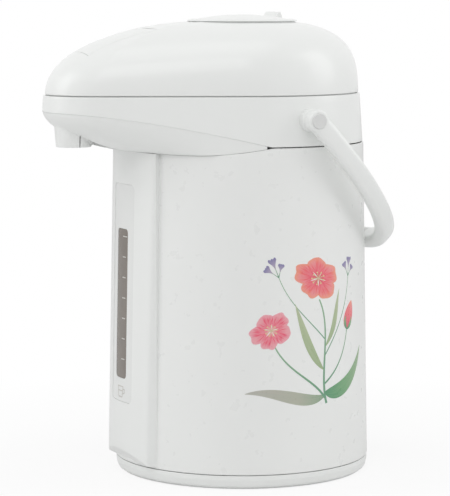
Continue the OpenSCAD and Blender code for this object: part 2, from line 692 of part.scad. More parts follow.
// Cover under the beak
cover_lip = 0.5;
cover_end_y = dip_start_y - 3;
cover_last = len([for (p = half_outline(collar_top_r, beak_r)) if (p[1] < cover_end_y) p]) - 1;
cover_k = 9;
function cover_profile(p, inset, rise_max) =
    let (q = norm(p), r1 = q + collar_flare(ledge_z(p[1])) - cover_lip - inset,
         r0 = min(r1, shell_top_r + 1.6 - inset),
         z1 = ledge_z(p[1]) - 0.35, z2 = dip_z(p[1] * r0 / q) + 0.4,
         z0 = z2 + min(rise_max, 0.4 * (z1 - z2)))
    [for (k = [0 : cover_k])
        let (t = 90 * k / cover_k,
             r = r0 + (r1 - r0) * pow(cos(t), 2 / cover_round),
             z = z1 - (z1 - z0) * pow(sin(t), 2 / cover_round))
        [p[0] / q * r, p[1] / q * r, z]];
function backwards(list) = [for (i = [len(list) - 1 : -1 : 0]) list[i]];
module spout_cover() color(white) difference() {
    base = half_outline(collar_top_r, beak_r);
    mirrored = concat(
        [for (i = [cover_last : -1 : 1]) [-base[i][0], base[i][1]]],
        [for (i = [0 : cover_last]) base[i]]);
    lofted([for (p = mirrored)
        concat(cover_profile(p, 0, 0), backwards(cover_profile(p, cover_wall, cover_wall)))]);
    translate([0, -nozzle_reach, nozzle_z - 10]) cylinder(r = nozzle_top_r + fit, h = 40);
    translate([-insert_w / 2, -nozzle_reach, nozzle_z - 10])
        cube([insert_w, nozzle_reach - insert_end, 40]);
}
// Dark insert between the nozzle and the front panel
insert_front = nozzle_reach - nozzle_top_r - 0.4;
insert_end = insert_front - insert_len;
// Height of the cover's underside in the middle, at a distance r from the axis
function under_z(r) =
    let (r1 = beak_reach + beak_r - cover_lip, r0 = shell_top_r + 1.6, z1 = ledge_tip_z - 0.35,
         z0 = dip_z(-r0) + 0.4, c = pow((r - r0) / (r1 - r0), cover_round / 2))
    z1 - (z1 - z0) * pow(sin(acos(c)), 2 / cover_round);
module beak_insert() color([0.1, 0.1, 0.11])
    translate([-insert_w / 2 + fit, 0, 0]) rotate([90, 0, 90]) linear_extrude(insert_w - 2 * fit)
        polygon(concat(
            [for (i = [0 : 6]) let (y = mix(insert_end + fit, insert_front, i / 6)) [-y, under_z(y) + 1]],
            [[-insert_front, under_z(insert_front) + 3], [-insert_end - fit, under_z(insert_end) + 3]]));
nozzle_high_z = spout_pipe_z + pipe_r + 1.5;
module nozzle() color(white) difference() {
    translate([0, -nozzle_reach, 0]) rotate_extrude() polygon([
        [0, nozzle_z + 3], [nozzle_mouth_r - 2.2, nozzle_z + 3], [nozzle_mouth_r - 1.8, nozzle_z],
        [nozzle_mouth_r - 0.6, nozzle_z], [nozzle_mouth_r, nozzle_z + 0.7],
        [nozzle_top_r, nozzle_z + 14], [nozzle_top_r, nozzle_high_z], [0, nozzle_high_z]
    ]);
    translate([0, -nozzle_reach, nozzle_z - 1])
        cylinder(r = pipe_r - pipe_wall, h = spout_pipe_z - nozzle_z + 1, $fn = 48);
    translate([0, -nozzle_reach, spout_pipe_z]) sphere(r = pipe_r - pipe_wall, $fn = 48);
    translate([0, -nozzle_reach, spout_pipe_z]) rotate([-90, 0, 0])
        cylinder(r = pipe_r - pipe_wall, h = 8.02, $fn = 48);
    translate([0, -nozzle_reach + 8, spout_pipe_z]) rotate([-90, 0, 0])
        cylinder(r = pipe_r + 0.02, h = 12, $fn = 48);
}
module spout_pipe() color([0.88, 0.88, 0.86])
    difference() {
        translate([0, -nozzle_reach + 8.1, spout_pipe_z]) rotate([-90, 0, 0])
            cylinder(r = pipe_r, h = nozzle_reach - 8.1 - gauge_tube_y - valve_r - 0.1, $fn = 48);
        translate([0, -nozzle_reach, spout_pipe_z]) rotate([-90, 0, 0])
            cylinder(r = pipe_r - pipe_wall, h = 80, $fn = 48);
    }
valve_high_z = spout_pipe_z + 7;
module check_valve() color([0.9, 0.9, 0.88]) difference() {
    translate([0, -gauge_tube_y, tube_high_z + 0.1]) cylinder(
        r = valve_r, h = valve_high_z - tube_high_z - 0.1, $fn = 48);
    translate([0, -gauge_tube_y, tube_high_z + 1.4])
        cylinder(r = 4.4, h = valve_high_z - tube_high_z - 3.2, $fn = 48);
    translate([0, -gauge_tube_y, tube_high_z - 1])
        cylinder(r = 2.6, h = 8, $fn = 48);
    translate([0, -gauge_tube_y, spout_pipe_z]) rotate([90, 0, 0])
        cylinder(r = 3.2, h = 20, $fn = 48);
}
ball_lift = 2.2;
check_ball_r = 3.6;
check_ball_z = tube_high_z + 1.4 + sqrt(pow(check_ball_r + 0.05, 2) - 2.6 * 2.6);
module check_ball() color([0.75, 0.76, 0.78])
    translate([0, -gauge_tube_y, check_ball_z]) sphere(r = check_ball_r, $fn = 48);
module hinge_pin() color([0.75, 0.76, 0.78])
    translate([-barrel_half - 6.5, hinge_y, hinge_z]) rotate([0, 90, 0])
        cylinder(r = hinge_pin_r - 0.02, h = 2 * barrel_half + 13, $fn = 48);
module handle_pins() color([0.75, 0.76, 0.78]) for (s = [-1, 1])
    translate([s * (arm_x - 3 - pin_len), pivot_y, pivot_z]) rotate([0, s * 90, 0]) {
        cylinder(r = handle_pin_r - 0.02, h = pin_len + arm_t / 2, $fn = 48);
        cylinder(r = handle_pin_r + 2.5, h = 3, $fn = 48);
    }
module collar_screws() color([0.7, 0.71, 0.72]) rod_places()
    translate([0, 0, deck_z + deck_t + 0.02]) mirror([0, 0, 1]) screw(screw_len);
module base_screws() color([0.7, 0.71, 0.72]) rod_places()
    translate([0, 0, cover_low_z + screw_head_h + fit - 0.03]) screw(screw_len);

// ======== lid
neck_r = lock_r - 1.4;
hole_r = neck_r + 0.4;
// Height of the lid's surface at the hole's front, its highest place
hole_rim_z = lid_low_z + lid_h * pow(sin(acos(pow(
    hole_r / (beak_reach + beak_r - 1.2), beak_square / 2))), 2 / beak_square);
lid_rings = 9;
// Squareness runs from the beak's value to the rear's along the outline
function square_at(i) =
    mix(beak_square, lid_square, smooth((half_i(i) - tip_steps * 0.6) / (side_steps + 5)));
function lid_ring(j, big, small, h, r_in) =
    let (o = outline(big, small))
    [for (i = [0 : ring_n - 1])
        let (q = norm(o[i]), n = square_at(i),
             t = acos(pow(r_in / q, n / 2)) * j / lid_rings,
             f = pow(sin(t), 2 / n),
             r = r_in + (q * pow(cos(t), 2 / n) - r_in) * (1 - lid_draft * f))
        [o[i][0] / q * r, o[i][1] / q * r, lid_low_z + h * f]];
// Space for the hinge barrel, in lid pieces
module barrel_space(half, r) {
    translate([-half, hinge_y, hinge_z]) rotate([0, 90, 0])
        cylinder(r = r, h = 2 * half, $fn = 64);
    translate([-half, hinge_y - r, lid_low_z - 5]) cube([2 * half, 3 * r, hinge_rise + 4]);
}
module latch_prism(gap) {
    translate([-latch_w / 2 - gap, -latch_front - 2 * gap, lid_low_z + 8])
        cube([latch_w + 2 * gap, latch_front - latch_pin_y + 2 * gap, 60]);
    translate([-latch_w / 2 - gap, -latch_pin_y, latch_pin_z]) rotate([0, 90, 0])
        cylinder(r = latch_eye_r + gap, h = latch_w + 2 * gap, $fn = 64);
}
module lid_band() torus_band(concat(
    [for (j = [0 : lid_rings]) lid_ring(j, lid_r, beak_r - 1.2, lid_h, hole_r)],
    [for (j = [lid_rings : -1 : 0])
        lid_ring(j, lid_r - lid_wall, beak_r - 1.2 - lid_wall, lid_h - lid_wall, hole_r)]
));
// Height of the lid's inner side over a place on the screw circle
lid_boss_top_z = lid_low_z
    + (lid_h - lid_wall) * pow(1 - pow(lid_screw_r / (lid_r - lid_wall), lid_square), 1 / lid_square);
module lid_shell() color(white) difference() {
    union() {
        lid_band();
        lid_screw_places() translate([0, 0, lid_boss_z])
            cylinder(r = 3.4, h = lid_boss_top_z - lid_boss_z, $fn = 32);
    }
    barrel_space(barrel_half + knuckle_w + 1.6, barrel_r + 0.7);
    latch_prism(0.5);
    lid_screw_places() translate([0, 0, lid_boss_z - 1])
        cylinder(r = screw_r + 0.02, h = screw_len, $fn = 32);
}
knuckle_w = 6;
knuckle_r = 5.6;
module lid_base() color([0.88, 0.89, 0.88]) difference() {
    union() {
        translate([0, 0, lid_low_z + 0.2]) linear_extrude(lid_plate_t)
            egg(lid_r - lid_wall - 0.5, beak_r - 1.2 - lid_wall - 0.5);
        // well that guides the push plate
        ring(well_r + 2, well_r, lid_low_z + 0.3, plate_edge_z - 10.5);
        for (s = [-1, 1]) intersection() {
            translate([s * (barrel_half + 3.8) - knuckle_w / 2, 0, 0]) {
                translate([0, hinge_y, hinge_z]) rotate([0, 90, 0])
                    cylinder(r = knuckle_r, h = knuckle_w, $fn = 48);
                translate([0, hinge_y - 16, lid_low_z + 0.2])
                    cube([knuckle_w, 16, hinge_z - lid_low_z]);
            }
            cylinder(r = lid_r - 0.1, h = 400, $fn = 160);
        }
        // posts for the latch pin
        for (s = [-1, 1]) translate([s * 9 - 1.4, -latch_pin_y, 0]) {
            translate([0, -2.6, lid_low_z + 1]) cube([2.8, 5.2, latch_pin_z - lid_low_z - 1]);
            translate([0, 0, latch_pin_z]) rotate([0, 90, 0])
                cylinder(r = 2.6, h = 2.8, $fn = 32);
        }
    }
    barrel_space(barrel_half + 0.5, barrel_r + 0.7);
    translate([-50, hinge_y, hinge_z]) rotate([0, 90, 0])
        cylinder(r = hinge_pin_r + 0.05, h = 100, $fn = 48);
    translate([-40, -latch_pin_y, latch_pin_z]) rotate([0, 90, 0])
        cylinder(r = 1.5, h = 80, $fn = 32);
    // slot for the latch hook
    translate([-8, -catch_y - 22, lid_low_z - 1]) cube([16, 24, 10]);
    // air way to the container
    translate([0, 0, lid_low_z - 2]) cylinder(r = 6, h = 12, $fn = 48);
    lid_screw_places() translate([0, 0, lid_low_z - 1]) cylinder(r = screw_r + 0.3, h = 10, $fn = 32);
}
module lid_screw_places() for (a = [-27, 25, 155, 207])
    rotate([0, 0, a]) translate([lid_screw_r, 0, 0]) children();
inner_low_z = container_high_z - 2;
inner_r = mouth_r - 3;
module inner_lid() color([0.8, 0.81, 0.82]) difference() {
    union() {
        ring(inner_r, 0, inner_low_z, inner_low_z + 4);
        ring(20, 0, inner_low_z + 3.9, lid_low_z + 0.1);
        ring(inner_r, inner_r - 6, inner_low_z + 3.9, lid_low_z + 0.1);
    }
    translate([0, 0, inner_low_z - 2]) cylinder(r = 4, h = 30, $fn = 48);
}
module lid_gasket() color([0.84, 0.82, 0.8])
    ring(container_r - 0.5, inner_r + 0.02, container_high_z + 2.7, container_high_z + 6.3);
module bellows() color([0.75, 0.75, 0.76]) {
    h = (bellows_high_z - bellows_low_z) / fold_count;
    outer = [for (i = [0 : fold_count - 1])
        each [[bellows_r - 5, bellows_low_z + i * h], [bellows_r, bellows_low_z + (i + 0.5) * h]]];
    inner = [for (i = [fold_count - 1 : -1 : 0])
        each [[bellows_r - 1.2, bellows_low_z + (i + 0.5) * h],
              [bellows_r - 6.2, bellows_low_z + i * h]]];
    rotate_extrude() polygon(concat(
        outer, [[bellows_r - 5, bellows_high_z], [bellows_r - 6.2, bellows_high_z]], inner));
}
module pump_spring() color([0.7, 0.71, 0.72]) translate([0, 0, bellows_low_z + 0.1])
    coil(17, 1, spring_turns, bellows_high_z - bellows_low_z - 0.2);
module pump_valve() color([0.85, 0.83, 0.8]) {
    translate([0, 0, inner_low_z - 2.4]) cylinder(r = 9, h = 2.3, $fn = 48);
    translate([0, 0, inner_low_z - 2.4]) cylinder(r = 2.5, h = 12, $fn = 32);
}
module lid_screws() color([0.7, 0.71, 0.72]) lid_screw_places()
    translate([0, 0, lid_low_z + 0.18]) screw(screw_len);

// ======== push plate and lock ring
dome_r = (plate_r * plate_r + plate_dome * plate_dome) / (2 * plate_dome);
module dome_cut(top_z, r) translate([0, 0, top_z - r]) sphere(r = r, $fn = 256);
module push_plate() color(white) {
    difference() {
        intersection() {
            ring(plate_r, 0, plate_skirt_z, plate_top_z);
            dome_cut(plate_top_z, dome_r);
        }
        translate([0, 0, plate_skirt_z - 1]) cylinder(r = plate_r - 2.2, h = 7.9);
    }
    // boss that carries the bellows
    ring(bellows_r - 3, bellows_r - 6, bellows_high_z + 0.05, plate_edge_z - 2.5);
}
lever_w = 11;
module lock_ring() color(white) {
    low = hole_rim_z + run_gap;
    difference() {
        union() {
            rotate_extrude() polygon([
                [plate_r + ring_gap - 0.2, plate_edge_z - 6.5], [neck_r, plate_edge_z - 6.5],
                [neck_r, low], [lock_r, low], [lock_r, low + 0.6],
                [lock_r - 1.6, low + 1.3], [plate_r + ring_gap + 0.8, plate_edge_z - 0.5],
                [plate_r + ring_gap - 0.2, plate_edge_z - 0.3]
            ]);
            rotate([0, 0, 90 + lever_a]) {
                translate([lock_r - 2.4, -lever_w / 2, low])
                    cube([lever_reach - lock_r + 2.4, lever_w, 2.2]);
                translate([lever_reach, -lever_w / 2, low]) rotate([-90, 0, 0])
                    linear_extrude(lever_w) polygon([
                        [0, 0], [0, -2.4], [-3, low - lever_top_z + 0.8],
                        [-4.6, low - lever_top_z], [-6, low - lever_top_z + 0.2],
                        [-12, -2.6], [-18, -1.6], [-18, 0]
                    ]);
            }
        }
        translate([0, 0, low - 20]) cylinder(r = plate_r + ring_gap, h = 60);
    }
}

// ======== latch
hook_y = catch_y + 3.6;
hook_low_z = catch_z - 2.6;
module lid_latch() color(white) {
    difference() {
        intersection() {
            lid_band();
            latch_prism(0);
        }
        translate([-40, -latch_pin_y, latch_pin_z]) rotate([0, 90, 0])
            cylinder(r = 1.55, h = 80, $fn = 32);
    }
    difference() {
        union() {
            translate([-7, -latch_pin_y, latch_pin_z]) rotate([0, 90, 0])
                cylinder(r = 4, h = 14, $fn = 32);
            translate([-6, -hook_y - 3.6, latch_pin_z - 2])
                cube([12, hook_y + 3.6 - latch_pin_y, 5.2]);
            translate([-6, -hook_y - 3.6, hook_low_z]) cube([12, 3.6, latch_pin_z - hook_low_z]);
            translate([-6, -hook_y - 3.6, hook_low_z]) cube([12, 4.6, 3.2]);
        }
        translate([-40, -latch_pin_y, latch_pin_z]) rotate([0, 90, 0])
            cylinder(r = 1.55, h = 80, $fn = 32);
    }
}
module latch_pin() color([0.75, 0.76, 0.78])
    translate([-11.5, -latch_pin_y, latch_pin_z]) rotate([0, 90, 0])
        cylinder(r = 1.48, h = 23, $fn = 32);
module latch_spring() color([0.7, 0.71, 0.72])
    translate([0, -latch_front + 18, lid_low_z + 3]) coil(4, 0.6, 5, 24);

// ======== handle
path_n = 12;
// Centre line of the bail in its own plane: [across, along]
function bail_point(t) = [arm_x * pow(cos(t), 2 / bail_square), handle_reach * pow(sin(t), 2 / bail_square)];
function bail_path() =
    let (half = concat([[arm_x, 2]], [for (i = [1 : path_n]) bail_point(mix(2, 90, i / path_n))]))
    concat(half, [for (i = [path_n - 1 : -1 : 0]) [-half[i][0], half[i][1]]]);
bail_sides = 12;
function super_xy(a, w, h) =
    [w / 2 * sign(cos(a)) * pow(abs(cos(a)), 0.6), h / 2 * sign(sin(a)) * pow(abs(sin(a)), 0.6)];
function bail_section(path, k, w, h, shift) =
    let (m = len(path), a = path[max(0, k - 1)], b = path[min(m - 1, k + 1)],
         t = (b - a) / norm(b - a), n = [t[1], -t[0]])
    [for (i = [0 : bail_sides - 1])
        let (c = super_xy(360 * (i + 0.5) / bail_sides, w, h))
        [path[k][0] + n[0] * (c[0] + shift), -c[1], -(path[k][1] + n[1] * (c[0] + shift))]];
module in_bail_frame() translate([0, pivot_y, pivot_z]) rotate([handle_rest_a, 0, 0]) children();
module handle() color(white) in_bail_frame() difference() {
    union() {
        path = bail_path();
        lofted([for (k = [0 : 2 * path_n])
            let (w = mix(arm_t, grip_t, smooth((min(k, 2 * path_n - k) / path_n - 0.3) / 0.5)))
            bail_section(path, k, w, arm_d, (w - arm_t) / 2)]);
        for (s = [-1, 1]) translate([s * (arm_x - arm_t / 2), 0, 0]) rotate([0, s * 90, 0])
            cylinder(r = eye_r, h = arm_t, $fn = 64);
    }
    for (s = [-1, 1]) translate([s * (arm_x - arm_t / 2 - 1), 0, 0]) rotate([0, s * 90, 0])
        cylinder(r = handle_pin_r + 0.06, h = arm_t - 1.5, $fn = 48);
    strip_block(fit);
}
// Flat strip let into the grip's inner side
strip_len = 44;
module strip_block(grow)
    translate([-strip_len / 2 - grow, -arm_d / 2 + 3.4 - grow, -handle_reach + arm_t / 2 - 0.8 - grow])
        cube([strip_len + 2 * grow, arm_d - 6.8 + 2 * grow, 1.4 + 20 * grow]);
module handle_cover() color([0.86, 0.87, 0.86]) in_bail_frame() strip_block(0);
module pivot_caps() color(white) in_bail_frame() for (s = [-1, 1])
    translate([s * (arm_x + arm_t / 2 + 0.02), 0, 0]) rotate([0, s * 90, 0])
        cylinder(r1 = 5.6, r2 = 5, h = 0.8, $fn = 48);

swivel_base();
base_pad();
pivot_washer();
bearing_cage();
bearing_balls();
bottom_cover();
body_shell();
gauge_panel();
scale_inlay();
gauge_window();
gauge_tube();
tube_seals();
outlet_elbow();
outlet_gasket();
container();
mouth_ring();
heat_shield();
band_heater();
plate_heater();
thermostat();
thermal_fuse();
wiring();
power_inlet();
inlet_pins();
tie_rods();
collar();
collar_deck();
spout_cover();
beak_insert();
nozzle();
spout_pipe();
check_valve();
check_ball();
hinge_pin();
handle_pins();
collar_screws();
base_screws();
lid_shell();
lid_base();
inner_lid();
lid_gasket();
bellows();
pump_spring();
pump_valve();
lid_screws();
latch_pin();
lid_latch();
latch_spring();
lock_ring();
push_plate();
handle();
handle_cover();
pivot_caps();
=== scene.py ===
import json
import math
import bmesh
import bpy
from mathutils import Matrix, Vector

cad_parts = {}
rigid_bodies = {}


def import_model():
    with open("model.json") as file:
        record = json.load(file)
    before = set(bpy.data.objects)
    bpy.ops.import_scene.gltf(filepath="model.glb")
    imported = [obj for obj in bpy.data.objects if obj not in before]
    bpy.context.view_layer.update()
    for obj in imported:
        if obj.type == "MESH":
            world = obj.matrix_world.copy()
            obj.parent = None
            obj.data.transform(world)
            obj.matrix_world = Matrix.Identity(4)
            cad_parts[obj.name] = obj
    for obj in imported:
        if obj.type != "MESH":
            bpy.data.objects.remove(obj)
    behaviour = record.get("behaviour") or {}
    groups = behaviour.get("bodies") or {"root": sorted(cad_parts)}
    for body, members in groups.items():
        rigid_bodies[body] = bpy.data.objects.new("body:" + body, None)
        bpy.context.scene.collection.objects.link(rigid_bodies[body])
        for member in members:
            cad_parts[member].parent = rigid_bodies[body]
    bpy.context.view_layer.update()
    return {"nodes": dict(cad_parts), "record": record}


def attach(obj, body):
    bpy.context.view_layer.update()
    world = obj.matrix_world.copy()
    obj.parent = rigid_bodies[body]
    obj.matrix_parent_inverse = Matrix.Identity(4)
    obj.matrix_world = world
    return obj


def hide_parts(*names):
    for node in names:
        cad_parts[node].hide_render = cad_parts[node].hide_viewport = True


# An electric thermo pot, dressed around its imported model. Shapes are written in
# millimetres and turned into metres by make_mesh(). The spout points to -Y.

for leftover in list(bpy.data.objects):
    bpy.data.objects.remove(leftover)
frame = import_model()

MM = 0.001

# ---- sizes of the visible forms
SHELL_FOOT_R = 92.3
SHELL_TOP_R = 88.2
SHELL_FOOT_Z = 10.6
SHELL_WALL = 1.2
COLLAR_Z = 238.6
FRONT_DIP = 5.1
DIP_START_Y = -18.0
LID_Z = 274.0
COLLAR_FOOT_R = 87.6
COLLAR_TOP_R = 85.3
COLLAR_WALL = 2.4
COLLAR_GAP = 0.7
BEAK_R = 41.0
BEAK_REACH = 110.0
LEDGE_TIP_Z = 262.4
LEDGE_POWER = 1.45
COVER_ROUND = 1.6
COVER_WALL = 2.2
COVER_LIP = 0.5
NOZZLE_REACH = 131.2
NOZZLE_TOP_R = 13.5
NOZZLE_MOUTH_R = 12.4
NOZZLE_Z = 238.0
NOZZLE_HIGH_Z = 261.0
NOZZLE_BORE_R = 3.8
INSERT_W = 28.0
INSERT_END = 101.0
PANEL_TOP_RISE = 5.0
PANEL_FOOT_RISE = 5.6
PANEL_FACE_A = 20.4
PANEL_FOOT_A = 23.6
PANEL_LOW_Z = 12.4
PANEL_BEVEL_H = 8.0
PANEL_BEVEL_A = 40.0
INLAY_W = 34.0
INLAY_LOW_Z = 54.8
INLAY_HIGH_Z = 210.6
INLAY_INSET = 0.25
INLAY_DEPTH = 0.7
WINDOW_W = 17.4
WINDOW_LOW_Z = 71.5
WINDOW_HIGH_Z = 178.8
WINDOW_INSET = 0.5
LID_R = 84.3
LID_BEAK_R = BEAK_R - 1.2
LID_LOW_Z = 274.7
CROWN_Z = 326.0
LID_WALL = 2.4
LID_SQUARE = 3.2
BEAK_SQUARE = 2.28
LID_DRAFT = 0.033
HOLE_R = 38.6
HINGE_Y = 78.5
HINGE_Z = 283.0
HINGE_NOTCH_R = 8.7
HINGE_NOTCH_HALF = 22.6
LATCH_W = 34.0
LATCH_PIN_Y = 77.0
LATCH_PIN_Z = 314.5
LATCH_EYE_R = 6.0
LATCH_SWING_R = 51.2
HOOK_Y = 83.6
HOOK_LOW_Z = 269.8
HOOK_W = 12.0
HOOK_T = 3.6
PLATE_R = 34.7
RING_GAP = 1.5
PLATE_TOP_Z = 330.0
PLATE_DOME = 3.6
LOCK_R = 39.6
LEVER_TOP_Z = 331.6
LEVER_REACH = 62.0
LEVER_A = 40.0
LEVER_W = 11.0
PIVOT_Y = 10.4
PIVOT_Z = 257.5
ARM_X = 97.0
ARM_T = 8.2
GRIP_T = 11.6
ARM_D = 14.4
HANDLE_REACH = 126.0
BAIL_SQUARE = 2.4
HANDLE_REST_A = 43.4
EYE_R = 7.9
BOSS_R = 8.1
BOSS_END_X = 92.6
BASE_R = 92.0
BASE_H = 9.6


def mix(a, b, t):
    return a + (b - a) * t


def clamp01(t):
    return min(1.0, max(0.0, t))


def smooth(t):
    t = clamp01(t)
    return t * t * (3 - 2 * t)


def bend(a, b, c, t):
    """A place on the curve from a to c that is drawn towards b."""
    return a * (1 - t) ** 2 + b * (2 * t * (1 - t)) + c * (t * t)


def polar(r, degrees, z):
    """A point at an angle from the front (-Y), turning towards +X."""
    a = math.radians(degrees)
    return (r * math.sin(a), -r * math.cos(a), z)


def shell_r(z):
    return mix(SHELL_FOOT_R, SHELL_TOP_R, (z - SHELL_FOOT_Z) / (COLLAR_Z - SHELL_FOOT_Z))


def panel_r(z):
    rise = mix(PANEL_FOOT_RISE, PANEL_TOP_RISE, (z - PANEL_LOW_Z) / (COLLAR_Z - PANEL_LOW_Z))
    return shell_r(z) + rise


DIP_MID_Y = DIP_START_Y * 0.42 - SHELL_TOP_R * 0.58 - 12
DIP_CYL_R = ((DIP_START_Y - DIP_MID_Y) ** 2 + FRONT_DIP ** 2) / (2 * FRONT_DIP)
DIP_CYL_Z = COLLAR_Z - FRONT_DIP + DIP_CYL_R


def dip_z(y):
    """Height of the shell's upper edge, which dips under the beak."""
    if y > DIP_START_Y:
        return COLLAR_Z
    return min(COLLAR_Z, DIP_CYL_Z - math.sqrt(DIP_CYL_R ** 2 - (y - DIP_MID_Y) ** 2))


def ledge_z(y):
    """Height of the collar's lower edge, which rises towards the beak's tip."""
    low = COLLAR_Z + COLLAR_GAP
    if y > DIP_START_Y:
        return low
    along = clamp01((DIP_START_Y - y) / (DIP_START_Y + BEAK_REACH + BEAK_R))
    return low + (LEDGE_TIP_Z - low) * (1 - (1 - along) ** LEDGE_POWER)


def collar_flare(z):
    return (COLLAR_FOOT_R - COLLAR_TOP_R) * (LID_Z - z) / (LID_Z - COLLAR_Z)


# ---- egg outline of collar, lid and beak
TIP_N = 30
SIDE_N = 16
BACK_N = 48
CAD_TIP = 10
CAD_SIDE = 6
CAD_BACK = 16


def half_outline(big, small):
    """(x, y, station) from the beak's tip over the right side to the rear."""
    a = math.acos((big - small) / BEAK_REACH)
    points = []
    for i in range(TIP_N + 1):
        t = a * i / TIP_N
        points.append((small * math.sin(t), -BEAK_REACH - small * math.cos(t), CAD_TIP * i / TIP_N))
    for i in range(1, SIDE_N):
        f = i / SIDE_N
        x = mix(small * math.sin(a), big * math.sin(a), f)
        y = mix(-BEAK_REACH - small * math.cos(a), -big * math.cos(a), f)
        points.append((x, y, CAD_TIP + CAD_SIDE * f))
    for i in range(BACK_N + 1):
        t = mix(a, math.pi, i / BACK_N)
        points.append((big * math.sin(t), -big * math.cos(t), CAD_TIP + CAD_SIDE + CAD_BACK * i / BACK_N))
    return points


def outline(big, small):
    half = half_outline(big, small)
    return half + [(-x, y, s) for x, y, s in half[-2:0:-1]]


# ---- mesh helpers
def make_mesh(name, points, faces):
    """A new object from points in millimetres."""
    mesh = bpy.data.meshes.new(name)
    mesh.from_pydata([tuple(c * MM for c in p) for p in points], [], faces)
    mesh.validate()
    obj = bpy.data.objects.new(name, mesh)
    bpy.context.scene.collection.objects.link(obj)
    work = bmesh.new()
    work.from_mesh(mesh)
    bmesh.ops.recalc_face_normals(work, faces=work.faces)
    work.to_mesh(mesh)
    work.free()
    return obj


def ring_faces(rings, n, closed):
    """Quads between successive closed rings of n points."""
    faces = []
    for k in range(rings if closed else rings - 1):
        for i in range(n):
            a = k * n + i
            b = k * n + (i + 1) % n
            c = ((k + 1) % rings) * n
            faces.append((a, b, c + (i + 1) % n, c + i))
    return faces


def loft(name, rings, closed=False):
    """A solid through rings: closed in itself, or capped at both ends."""
    n = len(rings[0])
    faces = ring_faces(len(rings), n, closed)
    if not closed:
        faces.append(tuple(range(n)))
        faces.append(tuple(range((len(rings) - 1) * n, len(rings) * n)))
    return make_mesh(name, [p for ring in rings for p in ring], faces)


def rounded(points, radii, steps=5):
    """A closed polygon with its corners rounded; radii holds one radius for each corner."""
    result = []
    count = len(points)
    for i, corner in enumerate(points):
        p = Vector(corner)
        before = Vector(points[i - 1]) - p
        after = Vector(points[(i + 1) % count]) - p
        if radii[i] <= 0 or before.length < 1e-6 or after.length < 1e-6:
            result.append(tuple(p))
            continue
        half = before.angle(after) / 2
        reach = min(radii[i] / max(math.tan(half), 1e-3), before.length * 0.49, after.length * 0.49)
        start = p + before.normalized() * reach
        end = p + after.normalized() * reach
        for k in range(steps + 1):
            result.append(tuple(bend(start, p, end, k / steps)))
    return result


def lathe(name, profile, steps=192, centre=(0.0, 0.0)):
    """A closed (r, z) profile turned about a vertical axis."""
    rings = []
    for k in range(steps):
        a = 2 * math.pi * k / steps
        rings.append([(centre[0] + r * math.cos(a), centre[1] + r * math.sin(a), z) for r, z in profile])
    return loft(name, rings, closed=True)


def turned(name, profile, steps=96):
    """A solid turned about X, for eyes and bosses: (x, r) points whose ends lie on the axis."""
    points = []
    for x, r in profile[1:-1]:
        points += [(x, r * math.cos(2 * math.pi * k / steps), r * math.sin(2 * math.pi * k / steps))
                   for k in range(steps)]
    n = len(profile) - 2
    faces = ring_faces(n, steps, False)
    faces.append(tuple(range(steps)))
    faces.append(tuple(range((n - 1) * steps, n * steps)))
    return make_mesh(name, points, faces)


def block(name, low, high):
    corners = [(x, y, z) for x in (low[0], high[0]) for y in (low[1], high[1]) for z in (low[2], high[2])]
    faces = [(0, 1, 3, 2), (4, 6, 7, 5), (0, 4, 5, 1), (2, 3, 7, 6), (0, 2, 6, 4), (1, 5, 7, 3)]
    return make_mesh(name, corners, faces)


def patch(name, front, back, nu, nv):
    """A closed thin solid between two surfaces, which give a point for u and v from 0 to 1."""
    points = []
    for side in (front, back):
        for j in range(nv + 1):
            for i in range(nu + 1):
                points.append(side(i / nu, j / nv))
    faces = []
    row = nu + 1
    offset = row * (nv + 1)
    for j in range(nv):
        for i in range(nu):
            a = j * row + i
            faces.append((a, a + 1, a + 1 + row, a + row))
            faces.append((offset + a, offset + a + row, offset + a + 1 + row, offset + a + 1))
    rim = [i for i in range(nu)] + [nu + j * row for j in range(nv)]
    rim += [nv * row + nu - i for i in range(nu)] + [(nv - j) * row for j in range(nv)]
    for k, a in enumerate(rim):
        b = rim[(k + 1) % len(rim)]
        faces.append((a, offset + a, offset + b, b))
    return make_mesh(name, points, faces)


def bake(obj):
    """Puts the result of the modifiers into the mesh."""
    bpy.context.view_layer.update()
    graph = bpy.context.evaluated_depsgraph_get()
    mesh = bpy.data.meshes.new_from_object(obj.evaluated_get(graph))
    obj.modifiers.clear()
    obj.data = mesh


def boolean(obj, tool, operation="DIFFERENCE"):
    modifier = obj.modifiers.new("boolean", "BOOLEAN")
    modifier.operation = operation
    modifier.solver = "EXACT"
    modifier.object = tool
    bake(obj)
    bpy.data.objects.remove(tool)


def add_sides(obj, profile, steps, place):
    """Adds a piece turned about X on the right side and its mirror image on the left."""
    for side in (-1, 1):
        piece = turned("side_piece", profile, steps)
        piece.data.transform(place @ Matrix.Scale(side, 4, (1, 0, 0)))
        if side < 0:
            piece.data.flip_normals()
        boolean(obj, piece, "UNION")


def soften(obj, width, segments=3, angle=40.0):
    """Rounds the edges that are sharper than the angle."""
    modifier = obj.modifiers.new("bevel", "BEVEL")
    modifier.width = width * MM
    modifier.segments = segments
    modifier.limit_method = "ANGLE"
    modifier.angle_limit = math.radians(angle)
    modifier.harden_normals = False
    bake(obj)


def shade(obj, angle=35.0):
    obj.data.shade_smooth()
    obj.data.set_sharp_from_angle(angle=math.radians(angle))
    modifier = obj.modifiers.new("normals", "WEIGHTED_NORMAL")
    modifier.keep_sharp = True
    return obj


def join(pieces):
    """Joins pieces into the first one."""
    first = pieces[0]
    work = bmesh.new()
    for piece in pieces:
        work.from_mesh(piece.data)
    work.to_mesh(first.data)
    work.free()
    for piece in pieces[1:]:
        bpy.data.objects.remove(piece)
    return first


def finish_piece(obj, body, slot, *nodes):
    """Gives a piece its body and its finish, and hides the nodes that it stands for."""
    obj.data.materials.clear()
    obj.data.materials.append(MATERIALS[slot])
    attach(obj, body)
    if nodes:
        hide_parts(*nodes)
    return obj


